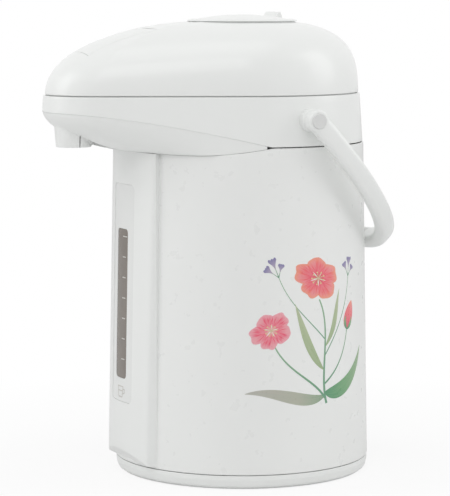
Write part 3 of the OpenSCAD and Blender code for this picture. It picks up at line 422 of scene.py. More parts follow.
# ---- materials
def node(tree, kind, **values):
    made = tree.nodes.new(kind)
    for key, value in values.items():
        if key in made.inputs:
            made.inputs[key].default_value = value
        else:
            setattr(made, key, value)
    return made


class Finish:
    """A material with its colour, roughness and bump driven by noise at real scale."""

    def __init__(self, name, **sockets):
        self.material = bpy.data.materials.new(name)
        self.material.use_nodes = True
        self.tree = self.material.node_tree
        self.shader = self.tree.nodes["Principled BSDF"]
        self.coords = node(self.tree, "ShaderNodeTexCoord")
        for key, value in sockets.items():
            self.shader.inputs[key.replace("_", " ")].default_value = value

    def link(self, a, b):
        self.tree.links.new(a, b)

    def stretched(self, scale):
        mapping = node(self.tree, "ShaderNodeMapping")
        mapping.inputs["Scale"].default_value = scale
        self.link(self.coords.outputs["Object"], mapping.inputs["Vector"])
        return mapping.outputs["Vector"]

    def noise(self, size, detail=3.0, stretch=(1, 1, 1)):
        """Noise whose features are about size millimetres across."""
        made = node(self.tree, "ShaderNodeTexNoise", Scale=1 / (size * MM), Detail=detail)
        self.link(self.stretched(stretch), made.inputs["Vector"])
        return made.outputs["Fac"]

    def colour(self, low, high, size, detail=3.0, stretch=(1, 1, 1)):
        blend = node(self.tree, "ShaderNodeMix", data_type="RGBA")
        # the colour sockets are the seventh and eighth inputs of the node
        blend.inputs[6].default_value = (*low, 1)
        blend.inputs[7].default_value = (*high, 1)
        self.link(self.noise(size, detail, stretch), blend.inputs["Factor"])
        self.link(blend.outputs[2], self.shader.inputs["Base Color"])
        return self

    def roughness(self, low, high, size, detail=4.0, stretch=(1, 1, 1)):
        spread = node(self.tree, "ShaderNodeMapRange")
        spread.inputs["From Min"].default_value = 0.3
        spread.inputs["From Max"].default_value = 0.7
        spread.inputs["To Min"].default_value = low
        spread.inputs["To Max"].default_value = high
        self.link(self.noise(size, detail, stretch), spread.inputs["Value"])
        self.link(spread.outputs["Result"], self.shader.inputs["Roughness"])
        return self

    def bump(self, size, height, detail=2.0, stretch=(1, 1, 1)):
        """A relief of the given height in millimetres."""
        made = node(self.tree, "ShaderNodeBump", Distance=height * MM, Strength=1.0)
        self.link(self.noise(size, detail, stretch), made.inputs["Height"])
        previous = self.shader.inputs["Normal"]
        if previous.is_linked:
            self.link(previous.links[0].from_socket, made.inputs["Normal"])
        self.link(made.outputs["Normal"], previous)
        return self


def grey(value, green=0.0):
    return (value, value + green, value - green * 0.5)


MATERIALS = {}


def listed(slot, **sockets):
    """A new finish whose material is listed under its slot."""
    made = Finish(slot, **sockets)
    MATERIALS[slot] = made.material
    return made


METAL = {"Metallic": 1.0}
# slot: shader sockets; two colours and the size of their patches; roughness from, to and its size;
# the relief's size and height; with a detail and a stretch where the finish is brushed
FINISHES = {
    "white_enamel": (dict(Coat_Weight=0.2, Coat_Roughness=0.14),
        ((0.852, 0.863, 0.850), (0.857, 0.867, 0.854), 40.0), (0.27, 0.30, 8.0), (1.6, 0.0002)),
    "white_plastic": (dict(Coat_Weight=0.2, Coat_Roughness=0.12),
        ((0.848, 0.862, 0.848), (0.856, 0.868, 0.855), 30.0), (0.3, 0.35, 8.0), (1.6, 0.0004)),
    "pale_grey_plastic": ({}, (grey(0.70, 0.005), grey(0.73, 0.005), 8.0), (0.34, 0.44, 4.0), (0.7, 0.006)),
    "inlay_film": (dict(Coat_Weight=0.4, Coat_Roughness=0.1),
        ((0.80, 0.812, 0.80), (0.815, 0.825, 0.812), 12.0), (0.3, 0.38, 3.0), (0.5, 0.002)),
    "smoked_clear": (dict(IOR=1.49, Alpha=0.86, Coat_Weight=0.5, Coat_Roughness=0.04),
        ((0.20, 0.172, 0.145), (0.245, 0.212, 0.182), 16.0, 2.0, (1.5, 1, 0.4)),
        (0.16, 0.26, 6.0), (1.5, 0.002)),
    "clear_tube": (dict(IOR=1.47, Transmission_Weight=0.75), ((0.86, 0.9, 0.92), (0.92, 0.95, 0.96), 6.0),
        (0.04, 0.12, 5.0), (3.0, 0.004)),
    "stainless": (METAL, ((0.56, 0.565, 0.57), (0.66, 0.665, 0.67), 5.0, 4.0, (1, 1, 12)),
        (0.2, 0.36, 1.2, 4.0, (1, 1, 14)), (0.35, 0.0015, 2.0, (1, 1, 16))),
    "spring_steel": (METAL, ((0.42, 0.42, 0.43), (0.56, 0.56, 0.57), 1.2), (0.22, 0.34, 0.6), (0.2, 0.003)),
    "bearing_steel": (METAL, ((0.55, 0.55, 0.56), (0.62, 0.62, 0.63), 2.0), (0.08, 0.16, 1.0), (0.3, 0.0008)),
    "brass": (METAL, ((0.66, 0.5, 0.22), (0.76, 0.6, 0.3), 2.0), (0.2, 0.34, 1.0), (0.3, 0.002)),
    "aluminium": (METAL, ((0.6, 0.6, 0.61), (0.7, 0.7, 0.71), 3.0), (0.34, 0.5, 1.4), (0.5, 0.006)),
    "dark_rubber": ({}, ((0.03, 0.03, 0.032), (0.05, 0.05, 0.052), 2.0), (0.6, 0.8, 1.5), (0.5, 0.02)),
    "pale_rubber": (dict(Subsurface_Weight=0.1), ((0.66, 0.64, 0.6), (0.72, 0.7, 0.66), 3.0),
        (0.5, 0.66, 2.0), (0.6, 0.01)),
    "inner_plastic": ({}, ((0.68, 0.69, 0.67), (0.74, 0.75, 0.73), 10.0), (0.38, 0.52, 3.0), (0.7, 0.008)),
    "black_plastic": ({}, ((0.02, 0.02, 0.021), (0.035, 0.035, 0.036), 3.0), (0.36, 0.5, 1.5), (0.5, 0.015)),
    "cage_plastic": ({}, ((0.08, 0.09, 0.11), (0.11, 0.12, 0.14), 3.0), (0.4, 0.55, 2.0), (0.6, 0.01)),
    "heater_band": ({}, ((0.36, 0.28, 0.16), (0.5, 0.4, 0.24), 4.0, 4.0), (0.45, 0.65, 1.5), (1.2, 0.03)),
    "ceramic": ({}, ((0.74, 0.72, 0.66), (0.82, 0.8, 0.74), 3.0), (0.3, 0.5, 1.5), (0.6, 0.01)),
    "wire_red": ({}, ((0.45, 0.04, 0.03), (0.55, 0.07, 0.05), 2.0), (0.34, 0.46, 1.0), (0.4, 0.01)),
}
for slot, (sockets, tint, rough, relief) in FINISHES.items():
    listed(slot, **sockets).colour(*tint).roughness(*rough).bump(*relief)
for part in frame["record"]["subparts"]:
    cad = frame["nodes"][part["node"]]
    for index in range(len(cad.data.materials)):
        cad.data.materials[index] = MATERIALS[part["material_slot"]]
# the insert under the beak is coloured mid grey as painted shade for the shadowed gap under the beak
frame["nodes"]["beak_insert"].data.materials[0] = Finish("insert_painted_shade").colour(
    (0.33, 0.335, 0.33), (0.37, 0.375, 0.37), 6.0).roughness(0.4, 0.5, 3.0).bump(0.7, 0.003).material


# ======== swivel base
def make_base():
    hub_r = 9.0
    hub_top_z = 13.5
    plate_z = 5.0
    plate_t = 2.4
    top_z = plate_z + plate_t
    low_z = 1.2
    pad_low_r = 68.0
    pad_high_r = 82.0
    pad_z = 1.8
    race_r = 60.0
    race_w = 2.4
    rim_z = BASE_H + 0.6
    profile = [
        (hub_r - 4, plate_z), (pad_low_r - 2, plate_z), (pad_low_r - 2, low_z), (pad_low_r, low_z),
        (pad_low_r, pad_z), (pad_high_r, pad_z), (pad_high_r, low_z),
        (BASE_R - 7, low_z), (BASE_R - 7, 0.5), (BASE_R - 3.6, 0.5), (BASE_R - 1.1, 2.2), (BASE_R, 7.0),
        (BASE_R, rim_z), (BASE_R - 1.8, rim_z), (BASE_R - 3, BASE_H - 1), (BASE_R - 3, top_z),
        (race_r + race_w, top_z), (race_r, top_z - 0.62), (race_r - race_w, top_z),
        (hub_r, top_z), (hub_r, hub_top_z), (hub_r - 4, hub_top_z)]
    radii = [0.3] * len(profile)
    # the outer rim's lower bend, its side and its upper edge
    radii[10:13] = [3.0, 4.0, 0.5]
    base = lathe("turn_base", rounded(profile, radii), 240)
    finish_piece(shade(base), "base", "white_plastic", "swivel_base")


# ======== painted shell
SHELL_N = 288
INLET_W = 32.0
INLET_LOW_Z = 23.0
INLET_HIGH_Z = 45.0


def make_shell():
    edge = 0.5
    rows = 34
    rings = []
    for k in range(SHELL_N):
        a = 360 * k / SHELL_N
        top = dip_z(-shell_r(236) * math.cos(math.radians(a)))
        column = [polar(SHELL_FOOT_R - SHELL_WALL - 0.9, a, SHELL_FOOT_Z),
                  polar(SHELL_FOOT_R - 0.8, a, SHELL_FOOT_Z),
                  polar(SHELL_FOOT_R - 0.25, a, SHELL_FOOT_Z + 0.3),
                  polar(shell_r(SHELL_FOOT_Z + 1), a, SHELL_FOOT_Z + 1)]
        for j in range(1, rows + 1):
            z = mix(SHELL_FOOT_Z + 1, top - edge, j / rows)
            column.append(polar(shell_r(z), a, z))
        column.append(polar(shell_r(top) - edge * 0.3, a, top - edge * 0.3))
        column.append(polar(shell_r(top) - edge, a, top))
        column.append(polar(shell_r(top) - SHELL_WALL, a, top))
        for j in range(rows - 1, -1, -1):
            z = mix(SHELL_FOOT_Z + 1, top - edge, j / rows)
            column.append(polar(shell_r(z) - SHELL_WALL, a, z))
        rings.append(column)
    shell = loft("steel_shell", rings, closed=True)
    boolean(shell, slot_tool("slot", WINDOW_W + 3, WINDOW_LOW_Z - 4, WINDOW_HIGH_Z + 4, 4, lambda z: 80, 120))
    boolean(shell, block("hole", (-INLET_W / 2, 70, INLET_LOW_Z), (INLET_W / 2, 110, INLET_HIGH_Z)))
    finish_piece(shade(shell), "pot", "white_enamel", "body_shell")


def slot_half(w, z0, z1, r, z):
    """Half width of a slot with rounded corners at height z."""
    d = min(z - z0, z1 - z)
    if d >= r:
        return w / 2
    return w / 2 - r + math.sqrt(max(0.0, r * r - (r - max(d, 0.0)) ** 2))


def slot_rows(z0, z1, r, count=48):
    """Heights with fine steps at the rounded ends."""
    ends = [r * (1 - math.cos(math.pi / 2 * i / 8)) for i in range(8)]
    middle = [mix(z0 + r, z1 - r, i / count) for i in range(count + 1)]
    return [z0 + e for e in ends] + middle + [z1 - e for e in reversed(ends)]


def on_radius(x, r, z):
    """The front point of a round surface at x and z."""
    return (x, -math.sqrt(r * r - x * x), z)


def slot_solid(name, w, z0, z1, r, outer, inner, columns=16):
    """A slab with a slot's outline, between two radii given as functions of height."""
    rows = slot_rows(z0, z1, r)

    def side(radius):
        def place(u, v):
            z = rows[round(v * (len(rows) - 1))]
            return on_radius((2 * u - 1) * slot_half(w, z0, z1, r, z), radius(z), z)
        return place
    return patch(name, side(outer), side(inner), columns, len(rows) - 1)


def slot_tool(name, w, z0, z1, r, inner, outer):
    return slot_solid(name, w, z0, z1, r, lambda z: outer, inner)


# ======== front panel
def panel_section(z):
    """Closed section of the panel at height z: right foot, face, left foot and back along the shell."""
    back_r = shell_r(z) - SHELL_WALL + 0.05
    face_r = panel_r(z)
    corner = Vector(polar(max(SHELL_FOOT_R, shell_r(z) + 0.1), PANEL_FOOT_A, 0))
    slope = Vector(polar(panel_r(PANEL_LOW_Z), PANEL_FACE_A, 0)) - corner
    # the side's plane meets the face's radius
    b = corner.dot(slope)
    a = slope.dot(slope)
    edge = corner + slope * ((math.sqrt(b * b - a * (corner.dot(corner) - face_r ** 2)) - b) / a)
    fillet = min(2.0, (edge - corner).length * 0.7)
    start = edge + (corner - edge).normalized() * fillet
    end_a = math.degrees(math.atan2(edge.x, -edge.y) - fillet / face_r)
    end = Vector(polar(face_r, end_a, 0))
    right = [Vector(polar(back_r, PANEL_FOOT_A, 0)), corner]
    right += [bend(start, edge, end, k / 8) for k in range(9)]
    arc = 40
    for k in range(1, arc + 1):
        right.append(Vector(polar(face_r, end_a * (1 - k / arc), 0)))
    left = [Vector((-q.x, q.y, 0)) for q in reversed(right[:-1])]
    back = [Vector(polar(back_r, PANEL_FOOT_A * (2 * k / 24 - 1), 0)) for k in range(1, 24)]
    return right + left + back


def bevel_y(z):
    """How far forward the panel's lower bevel lets it reach."""
    high = PANEL_LOW_Z + PANEL_BEVEL_H
    return -panel_r(PANEL_LOW_Z) + math.tan(math.radians(PANEL_BEVEL_A)) * (high - z)


def soft_max(a, b, k):
    """The larger of two values, with the change between them rounded over k."""
    return 0.5 * (a + b + math.sqrt((a - b) ** 2 + k * k))


def window_opening():
    return slot_tool("opening", WINDOW_W, WINDOW_LOW_Z, WINDOW_HIGH_Z, 3, lambda z: 70, 125)


def make_panel():
    low_rows = 34
    high_rows = 40
    bend_z = PANEL_LOW_Z + PANEL_BEVEL_H + 4
    rings = []
    for j in range(low_rows + high_rows + 1):
        ring = []
        if j <= low_rows:
            z = mix(PANEL_LOW_Z, bend_z, j / low_rows)
            for q in panel_section(z):
                ring.append((q.x, soft_max(q.y, bevel_y(z), 0.5), z))
        else:
            f = (j - low_rows) / high_rows
            for q in panel_section(mix(bend_z, 234.5, f)):
                ring.append((q.x, q.y, mix(bend_z, dip_z(q.y), f)))
        rings.append(ring)
    panel = loft("front_panel", rings)
    recess_r = INLAY_INSET + INLAY_DEPTH + 0.1
    boolean(panel, slot_tool("recess", INLAY_W + 0.3, INLAY_LOW_Z - 0.15, INLAY_HIGH_Z + 0.15, 4.3,
                             lambda z: panel_r(z) - recess_r, 115))
    boolean(panel, window_opening())
    finish_piece(shade(panel, 30), "pot", "white_plastic", "gauge_panel")


def make_inlay():
    film = slot_solid("scale_film", INLAY_W, INLAY_LOW_Z, INLAY_HIGH_Z, 4.2,
                      lambda z: panel_r(z) - INLAY_INSET,
                      lambda z: panel_r(z) - INLAY_INSET - INLAY_DEPTH, 30)
    boolean(film, window_opening())
    finish_piece(shade(film, 30), "pot", "inlay_film", "scale_inlay")
    window = slot_solid("smoked_window", WINDOW_W - 0.2, WINDOW_LOW_Z + 0.1, WINDOW_HIGH_Z - 0.1, 2.9,
                        lambda z: panel_r(z) - WINDOW_INSET, lambda z: panel_r(z) - WINDOW_INSET - 2.2, 20)
    soften(window, 0.35, 3, 50)
    finish_piece(shade(window, 30), "pot", "smoked_clear", "gauge_window")


# ======== collar and beak
def collar_ring(base, dz, inset):
    """A ring of the collar: base 0 is its lower edge, 1 its upper edge, dz is added."""
    ring = []
    for x, y, _ in outline(COLLAR_TOP_R - inset, BEAK_R - inset):
        z = mix(ledge_z(y), LID_Z, base) + dz
        k = 1 + collar_flare(z) / math.hypot(x, y)
        ring.append((x * k, y * k, z))
    return ring


def make_collar():
    rings = [collar_ring(0, 0, 0.45), collar_ring(0, 0.13, 0.13), collar_ring(0, 0.45, 0)]
    rings += [collar_ring(f, 0, 0) for f in (0.1, 0.25, 0.4, 0.55, 0.7, 0.85)]
    rings += [collar_ring(1, -0.5, 0), collar_ring(1, -0.15, 0.15), collar_ring(1, 0, 0.5)]
    rings += [collar_ring(1, 0, COLLAR_WALL - 0.3), collar_ring(1, -0.3, COLLAR_WALL)]
    rings += [collar_ring(f, 0, COLLAR_WALL) for f in (0.7, 0.4, 0.1)]
    rings += [collar_ring(0, 0.3, COLLAR_WALL), collar_ring(0, 0, COLLAR_WALL - 0.3)]
    collar = loft("collar_ring", rings, closed=True)
    start_x = COLLAR_TOP_R - 1.7
    profile = [(start_x, 0), (start_x, BOSS_R), (BOSS_END_X - 1.4, BOSS_R), (BOSS_END_X - 0.8, BOSS_R - 0.1),
               (BOSS_END_X - 0.35, BOSS_R - 0.4), (BOSS_END_X - 0.08, BOSS_R - 0.85),
               (BOSS_END_X, BOSS_R - 1.4), (BOSS_END_X, 0)]
    add_sides(collar, profile, 96, Matrix.Translation((0, PIVOT_Y * MM, PIVOT_Z * MM)))
    finish_piece(shade(collar, 32), "pot", "white_plastic", "collar")


COVER_END_Y = DIP_START_Y - 3


def cover_limits(x, y):
    """Outer and inner radius and height of the cover under the beak, at a station of the outline."""
    q = math.hypot(x, y)
    r1 = q + collar_flare(ledge_z(y)) - COVER_LIP
    r0 = min(r1, SHELL_TOP_R + 1.6)
    return q, r1, r0, ledge_z(y) - 0.08, dip_z(y * r0 / q) + 0.1


def cover_section(x, y, inset, rise, steps=26):
    q, r1, r0, z1, z2 = cover_limits(x, y)
    r1 -= inset
    r0 = min(r1, r0 - inset)
    z0 = z2 + min(rise, 0.4 * (z1 - z2))
    section = []
    for k in range(steps + 1):
        t = math.pi / 2 * k / steps
        r = r0 + (r1 - r0) * max(0.0, math.cos(t)) ** (2 / COVER_ROUND)
        z = z1 - (z1 - z0) * math.sin(t) ** (2 / COVER_ROUND)
        section.append((x / q * r, y / q * r, z))
    return section


COVER_STATIONS = [(x, y) for x, y, _ in half_outline(COLLAR_TOP_R, BEAK_R) if y < COVER_END_Y]


def cover_z(x, y):
    """Height of the cover's underside over a place."""
    angle = math.atan2(abs(x), -y)
    best = COVER_STATIONS[-1]
    for a, b in zip(COVER_STATIONS, COVER_STATIONS[1:]):
        low = math.atan2(a[0], -a[1])
        high = math.atan2(b[0], -b[1])
        if low <= angle <= high:
            f = (angle - low) / (high - low)
            best = (mix(a[0], b[0], f), mix(a[1], b[1], f))
            break
    _, r1, r0, z1, z0 = cover_limits(*best)
    share = clamp01((math.hypot(x, y) - r0) / (r1 - r0))
    cosine = min(1.0, share ** (COVER_ROUND / 2))
    return z1 - (z1 - z0) * math.sin(math.acos(cosine)) ** (2 / COVER_ROUND)


def make_cover():
    stations = [(-x, y) for x, y in reversed(COVER_STATIONS[1:])] + COVER_STATIONS
    rings = []
    for x, y in stations:
        outer = cover_section(x, y, 0, 0)
        inner = cover_section(x, y, COVER_WALL, COVER_WALL)
        rings.append(outer + inner[::-1])
    cover = loft("beak_under", rings)
    hole = lathe("hole", [(0.01, 220), (NOZZLE_TOP_R + 0.1, 220), (NOZZLE_TOP_R + 0.1, 275), (0.01, 275)], 96,
                 (0, -NOZZLE_REACH))
    boolean(cover, hole)
    boolean(cover, block("slot", (-INSERT_W / 2, -NOZZLE_REACH, 225), (INSERT_W / 2, -INSERT_END, 275)))
    finish_piece(shade(cover, 32), "pot", "white_plastic", "spout_cover")


def make_nozzle():
    """The nozzle flares into the beak's underside."""
    flare = 1.2
    steps = 120
    rings = []
    for k in range(steps):
        a = 2 * math.pi * k / steps
        dx = math.cos(a)
        dy = math.sin(a)

        def at(r, z):
            return (dx * r, -NOZZLE_REACH + dy * r, z)

        def under(r):
            return cover_z(dx * r, -NOZZLE_REACH + dy * r)
        wall_top = under(NOZZLE_TOP_R)
        out_r = NOZZLE_TOP_R + flare
        # towards the pot the wall stands against the insert and doesn't flare
        behind = dy * NOZZLE_TOP_R > 0.5 and abs(dx * NOZZLE_TOP_R) < INSERT_W / 2
        if behind:
            out_r = NOZZLE_TOP_R + 0.05
        out_z = under(out_r) + 0.05
        start_z = min(wall_top, out_z) - (flare if not behind else 0.1)
        lower = rounded([(NOZZLE_BORE_R, NOZZLE_Z + 3), (NOZZLE_MOUTH_R - 2.2, NOZZLE_Z + 3),
                         (NOZZLE_MOUTH_R - 1.8, NOZZLE_Z), (NOZZLE_MOUTH_R, NOZZLE_Z),
                         (NOZZLE_TOP_R - 0.05, NOZZLE_Z + 14)], [0, 0.4, 0.5, 1.0, 0])
        column = [at(min(r, NOZZLE_TOP_R), z) for r, z in lower if z < start_z]
        wall = mix(NOZZLE_MOUTH_R, NOZZLE_TOP_R, clamp01((start_z - NOZZLE_Z) / 14))
        for i in range(13):
            column.append(at(bend(wall, wall, out_r, i / 12), bend(start_z, wall_top, out_z, i / 12)))
        column.append(at(out_r + 0.4, out_z + 1.2))
        column.append(at(NOZZLE_TOP_R, NOZZLE_HIGH_Z))
        column.append(at(NOZZLE_BORE_R, NOZZLE_HIGH_Z))
        rings.append(column)
    nozzle = loft("spout_nozzle", rings, closed=True)
    finish_piece(shade(nozzle, 32), "pot", "white_plastic", "nozzle")


# ======== lid
LID_H = CROWN_Z - LID_LOW_Z
LID_RINGS = 44


def square_at(station):
    return mix(BEAK_SQUARE, LID_SQUARE, smooth((station - CAD_TIP * 0.6) / (CAD_SIDE + 5)))


def lid_ring(share, inset, lower):
    """A ring of the lid's skin: share 0 is the rim, 1 the hole's edge."""
    ring = []
    h = LID_H - lower
    for x, y, station in outline(LID_R - inset, LID_BEAK_R - inset):
        q = math.hypot(x, y)
        n = square_at(station)
        t = math.acos((HOLE_R / q) ** (n / 2)) * share
        f = math.sin(t) ** (2 / n)
        r = HOLE_R + (q * math.cos(t) ** (2 / n) - HOLE_R) * (1 - LID_DRAFT * f)
        ring.append((x / q * r, y / q * r, LID_LOW_Z + h * f))
    return ring


def rim_ring(inset, dz):
    return [(x, y, LID_LOW_Z + dz) for x, y, _ in outline(LID_R - inset, LID_BEAK_R - inset)]


def lid_skin(name):
    rings = [rim_ring(0.5, 0), rim_ring(0.15, 0.15), rim_ring(0, 0.5)]
    rings += [lid_ring((j / LID_RINGS) ** 1.25, 0, 0) for j in range(2, LID_RINGS + 1)]
    rings += [lid_ring((j / LID_RINGS) ** 1.25, LID_WALL, LID_WALL) for j in range(LID_RINGS, 1, -1)]
    rings += [rim_ring(LID_WALL, 0)]
    return loft(name, rings, closed=True)


def latch_space(gap, front_gap):
    """The space of the latch lever, with its round rear end on the pin."""
    half = LATCH_W / 2 + gap
    reach = LATCH_SWING_R + front_gap
    points = [(-LATCH_PIN_Y - math.sqrt(reach ** 2 - (LATCH_PIN_Z - z) ** 2), z)
              for z in (282.7, 287, 291, 294, 296, 298, 299, 300, 301, 302, 303, 305, 308, 311, LATCH_PIN_Z)]
    points += [(-LATCH_PIN_Y - reach, 340), (-LATCH_PIN_Y, 340)]
    eye = LATCH_EYE_R + gap
    turn = [math.radians(90 - 9 * k) for k in range(0, 21)]
    points += [(-LATCH_PIN_Y + eye * math.cos(t), LATCH_PIN_Z + eye * math.sin(t)) for t in turn]
    points += [(-LATCH_PIN_Y, 282.7)]
    rings = [[(x, y, z) for y, z in points] for x in (-half, half)]
    return loft("latch_space", rings)


def make_lid():
    lid = lid_skin("lid_dome")
    notch = []
    for t in range(0, 181, 6):
        a = math.radians(t)
        notch.append((HINGE_Y + HINGE_NOTCH_R * math.cos(a), HINGE_Z + HINGE_NOTCH_R * math.sin(a)))
    notch += [(HINGE_Y - HINGE_NOTCH_R, 268), (HINGE_Y + 20, 268), (HINGE_Y + 20, HINGE_Z)]
    sides = (-HINGE_NOTCH_HALF, HINGE_NOTCH_HALF)
    boolean(lid, loft("notch", [[(x, y, z) for y, z in notch] for x in sides]))
    boolean(lid, latch_space(0.2, 0.3))
    finish_piece(shade(lid, 32), "lid", "white_plastic", "lid_shell")


def make_lip():
    """The lid's locating lip, which stands inside the collar."""
    rings = [[(x, y, z) for x, y, _ in outline(LID_R - inset, LID_BEAK_R - inset)]
             for inset, z in ((1.9, LID_LOW_Z - 1.5), (1.8, LID_LOW_Z - 1.3), (1.8, LID_LOW_Z + 0.4),
                              (2.38, LID_LOW_Z + 0.4), (2.38, LID_LOW_Z - 1.3), (2.28, LID_LOW_Z - 1.5))]
    lip = loft("lid_lip", rings, closed=True)
    boolean(lip, block("gap", (-HINGE_NOTCH_HALF - 1, 50, 260), (HINGE_NOTCH_HALF + 1, 100, 290)))
    finish_piece(shade(lip, 32), "lid", "white_plastic")


def make_latch():
    lever = lid_skin("latch_lever")
    boolean(lever, latch_space(0, 0), "INTERSECT")
    half = HOOK_W / 2
    front_y = -HOOK_Y - HOOK_T
    hook = [
        block("arm", (-half, front_y, LATCH_PIN_Z - 2), (half, -LATCH_PIN_Y, LATCH_PIN_Z + 3.2)),
        block("leg", (-half, front_y, HOOK_LOW_Z), (half, -HOOK_Y, LATCH_PIN_Z)),
        block("toe", (-half, front_y, HOOK_LOW_Z), (half, -HOOK_Y + 1, HOOK_LOW_Z + 3.2))]
    hub = turned("hub", [(-7, 0), (-7, 3.6), (-6.6, 4), (6.6, 4), (7, 3.6), (7, 0)], 48)
    hub.data.transform(Matrix.Translation((0, -LATCH_PIN_Y * MM, LATCH_PIN_Z * MM)))
    for piece in hook + [hub]:
        boolean(lever, piece, "UNION")
    soften(lever, 0.4, 3, 48)
    finish_piece(shade(lever, 32), "latch", "white_plastic", "lid_latch")


# ======== pump plate and lock ring
# the lock ring rests just over the highest place of the hole's rim
CROWN_LOW_Z = LID_LOW_Z + LID_H * math.sin(math.acos(
    (HOLE_R / (BEAK_REACH + LID_BEAK_R)) ** (BEAK_SQUARE / 2))) ** (2 / BEAK_SQUARE) + 0.3


def make_plate():
    dome_r = (PLATE_R ** 2 + PLATE_DOME ** 2) / (2 * PLATE_DOME)
    edge_z = PLATE_TOP_Z - PLATE_DOME
    skirt_z = edge_z - 9.5
    arc = []
    for k in range(25):
        r = (PLATE_R - 1.4) * (1 - k / 24)
        arc.append((max(r, 0.02), PLATE_TOP_Z - dome_r + math.sqrt(dome_r ** 2 - r * r)))
    edge = [(PLATE_R - 2.2, skirt_z), (PLATE_R - 0.3, skirt_z), (PLATE_R, skirt_z + 0.3),
            (PLATE_R, edge_z - 1.1), (PLATE_R - 0.12, edge_z - 0.6), (PLATE_R - 0.5, edge_z - 0.2),
            (PLATE_R - 1.0, edge_z + 0.04)]
    inside = [(0.02, edge_z - 2.6), (25, edge_z - 2.6), (25, edge_z - 7.45), (28, edge_z - 7.45),
              (28, edge_z - 2.6), (PLATE_R - 2.2, edge_z - 2.6)]
    plate = lathe("press_plate", edge + arc + inside, 192)
    finish_piece(shade(plate, 32), "plate", "white_plastic", "push_plate")


def make_lock_ring():
    plate_edge_z = PLATE_TOP_Z - PLATE_DOME
    well_r = PLATE_R + RING_GAP
    neck_r = LOCK_R - 1.4
    rim_z = CROWN_LOW_Z
    profile = [(well_r, plate_edge_z - 6.5), (neck_r, plate_edge_z - 6.5), (neck_r, rim_z), (LOCK_R, rim_z),
               (LOCK_R, rim_z + 0.7), (LOCK_R - 1.6, rim_z + 1.5), (well_r + 0.8, plate_edge_z - 0.4),
               (well_r, plate_edge_z - 0.4)]
    ring = lathe("lock_collar", rounded(profile, [0.1, 0.1, 0.1, 0.2, 0.3, 0.6, 0.4, 0.2]), 192)
    top = LEVER_TOP_Z - rim_z
    side = [(LOCK_R - 2.2, 0), (LEVER_REACH, 0), (LEVER_REACH, 2.4), (LEVER_REACH - 3, top - 0.6),
            (LEVER_REACH - 4.6, top), (LEVER_REACH - 6.2, top - 0.2), (LEVER_REACH - 12, 2.6),
            (LEVER_REACH - 18, 2.0), (LOCK_R - 2.2, 1.4)]
    side = rounded(side, [0, 0.4, 0.8, 1.2, 1.0, 1.2, 2.5, 3, 0])
    half = LEVER_W / 2
    lever = loft("lever", [[(x, y, rim_z + z) for x, z in side] for y in (-half, half)])
    soften(lever, 0.9, 4, 50)
    lever.data.transform(Matrix.Rotation(math.radians(90 + LEVER_A), 4, "Z"))
    boolean(ring, lever, "UNION")
    finish_piece(shade(ring, 32), "lock", "white_plastic", "lock_ring")


# ======== handle
def bail_point(t):
    across = ARM_X * max(0.0, math.cos(t)) ** (2 / BAIL_SQUARE)
    return Vector((across, HANDLE_REACH * math.sin(t) ** (2 / BAIL_SQUARE)))


def bail_path(count=64):
    """Points at equal steps along half the bail, with the share of the turn at each."""
    fine = [(bail_point(math.pi / 2 * (k / 600) ** 1.3), (k / 600) ** 1.3) for k in range(601)]
    lengths = [0.0]
    for a, b in zip(fine, fine[1:]):
        lengths.append(lengths[-1] + (b[0] - a[0]).length)
    path = []
    j = 0
    for k in range(count + 1):
        want = lengths[-1] * k / count
        while j < len(fine) - 2 and lengths[j + 1] < want:
            j += 1
        f = (want - lengths[j]) / (lengths[j + 1] - lengths[j])
        path.append((fine[j][0].lerp(fine[j + 1][0], f), mix(fine[j][1], fine[j + 1][1], f)))
    return path


def handle_matrix():
    return (Matrix.Translation((0, PIVOT_Y * MM, PIVOT_Z * MM))
            @ Matrix.Rotation(math.radians(HANDLE_REST_A), 4, "X"))


def make_handle():
    half = bail_path()
    path = half + [(Vector((-p.x, p.y)), u) for p, u in half[-2::-1]]
    sides = 44
    rings = []
    for k, (p, u) in enumerate(path):
        before = path[max(0, k - 1)][0]
        after = path[min(len(path) - 1, k + 1)][0]
        t = (after - before).normalized()
        n = Vector((t.y, -t.x))
        share = (u * 90 - 2) / 88
        w = mix(ARM_T, GRIP_T, smooth((share - 0.3) / 0.5))
        shift = (w - ARM_T) / 2
        ring = []
        for i in range(sides):
            a = 2 * math.pi * i / sides
            cx = w / 2 * math.copysign(abs(math.cos(a)) ** 0.6, math.cos(a)) + shift
            cy = ARM_D / 2 * math.copysign(abs(math.sin(a)) ** 0.6, math.sin(a))
            ring.append((p.x + n.x * cx, -cy, -(p.y + n.y * cx)))
        rings.append(ring)
    bail = loft("bail_grip", rings)
    inner_x = ARM_X - ARM_T / 2
    outer_x = ARM_X + ARM_T / 2
    profile = [(inner_x, 0), (inner_x, EYE_R - 0.7), (inner_x + 0.2, EYE_R - 0.2), (inner_x + 0.7, EYE_R),
               (outer_x - 1.8, EYE_R), (outer_x - 1.1, EYE_R - 0.15), (outer_x - 0.5, EYE_R - 0.55),
               (outer_x - 0.12, EYE_R - 1.2), (outer_x, EYE_R - 2.0), (outer_x, 0)]
    add_sides(bail, profile, 120, Matrix())
    bail.data.transform(handle_matrix())
    finish_piece(shade(bail, 32), "bail", "white_plastic", "handle")


# ======== marks on the gauge
MARK_COUNT = 7
MARK_TOP_Z = 173.3
MARK_STEP = 14.67


def on_face(x, z, depth):
    return on_radius(x, panel_r(z) + depth, z)


def mark(place, columns, rows):
    """A thin printed form; place(u, v, lift) gives its points."""
    return patch("mark", lambda u, v: place(u, v, 0.06), lambda u, v: place(u, v, -0.05), columns, rows)


def scale_mark(x0, x1, z0, z1):
    return mark(lambda u, v, lift: on_face(mix(x0, x1, u), mix(z0, z1, v), lift - WINDOW_INSET), 4, 2)


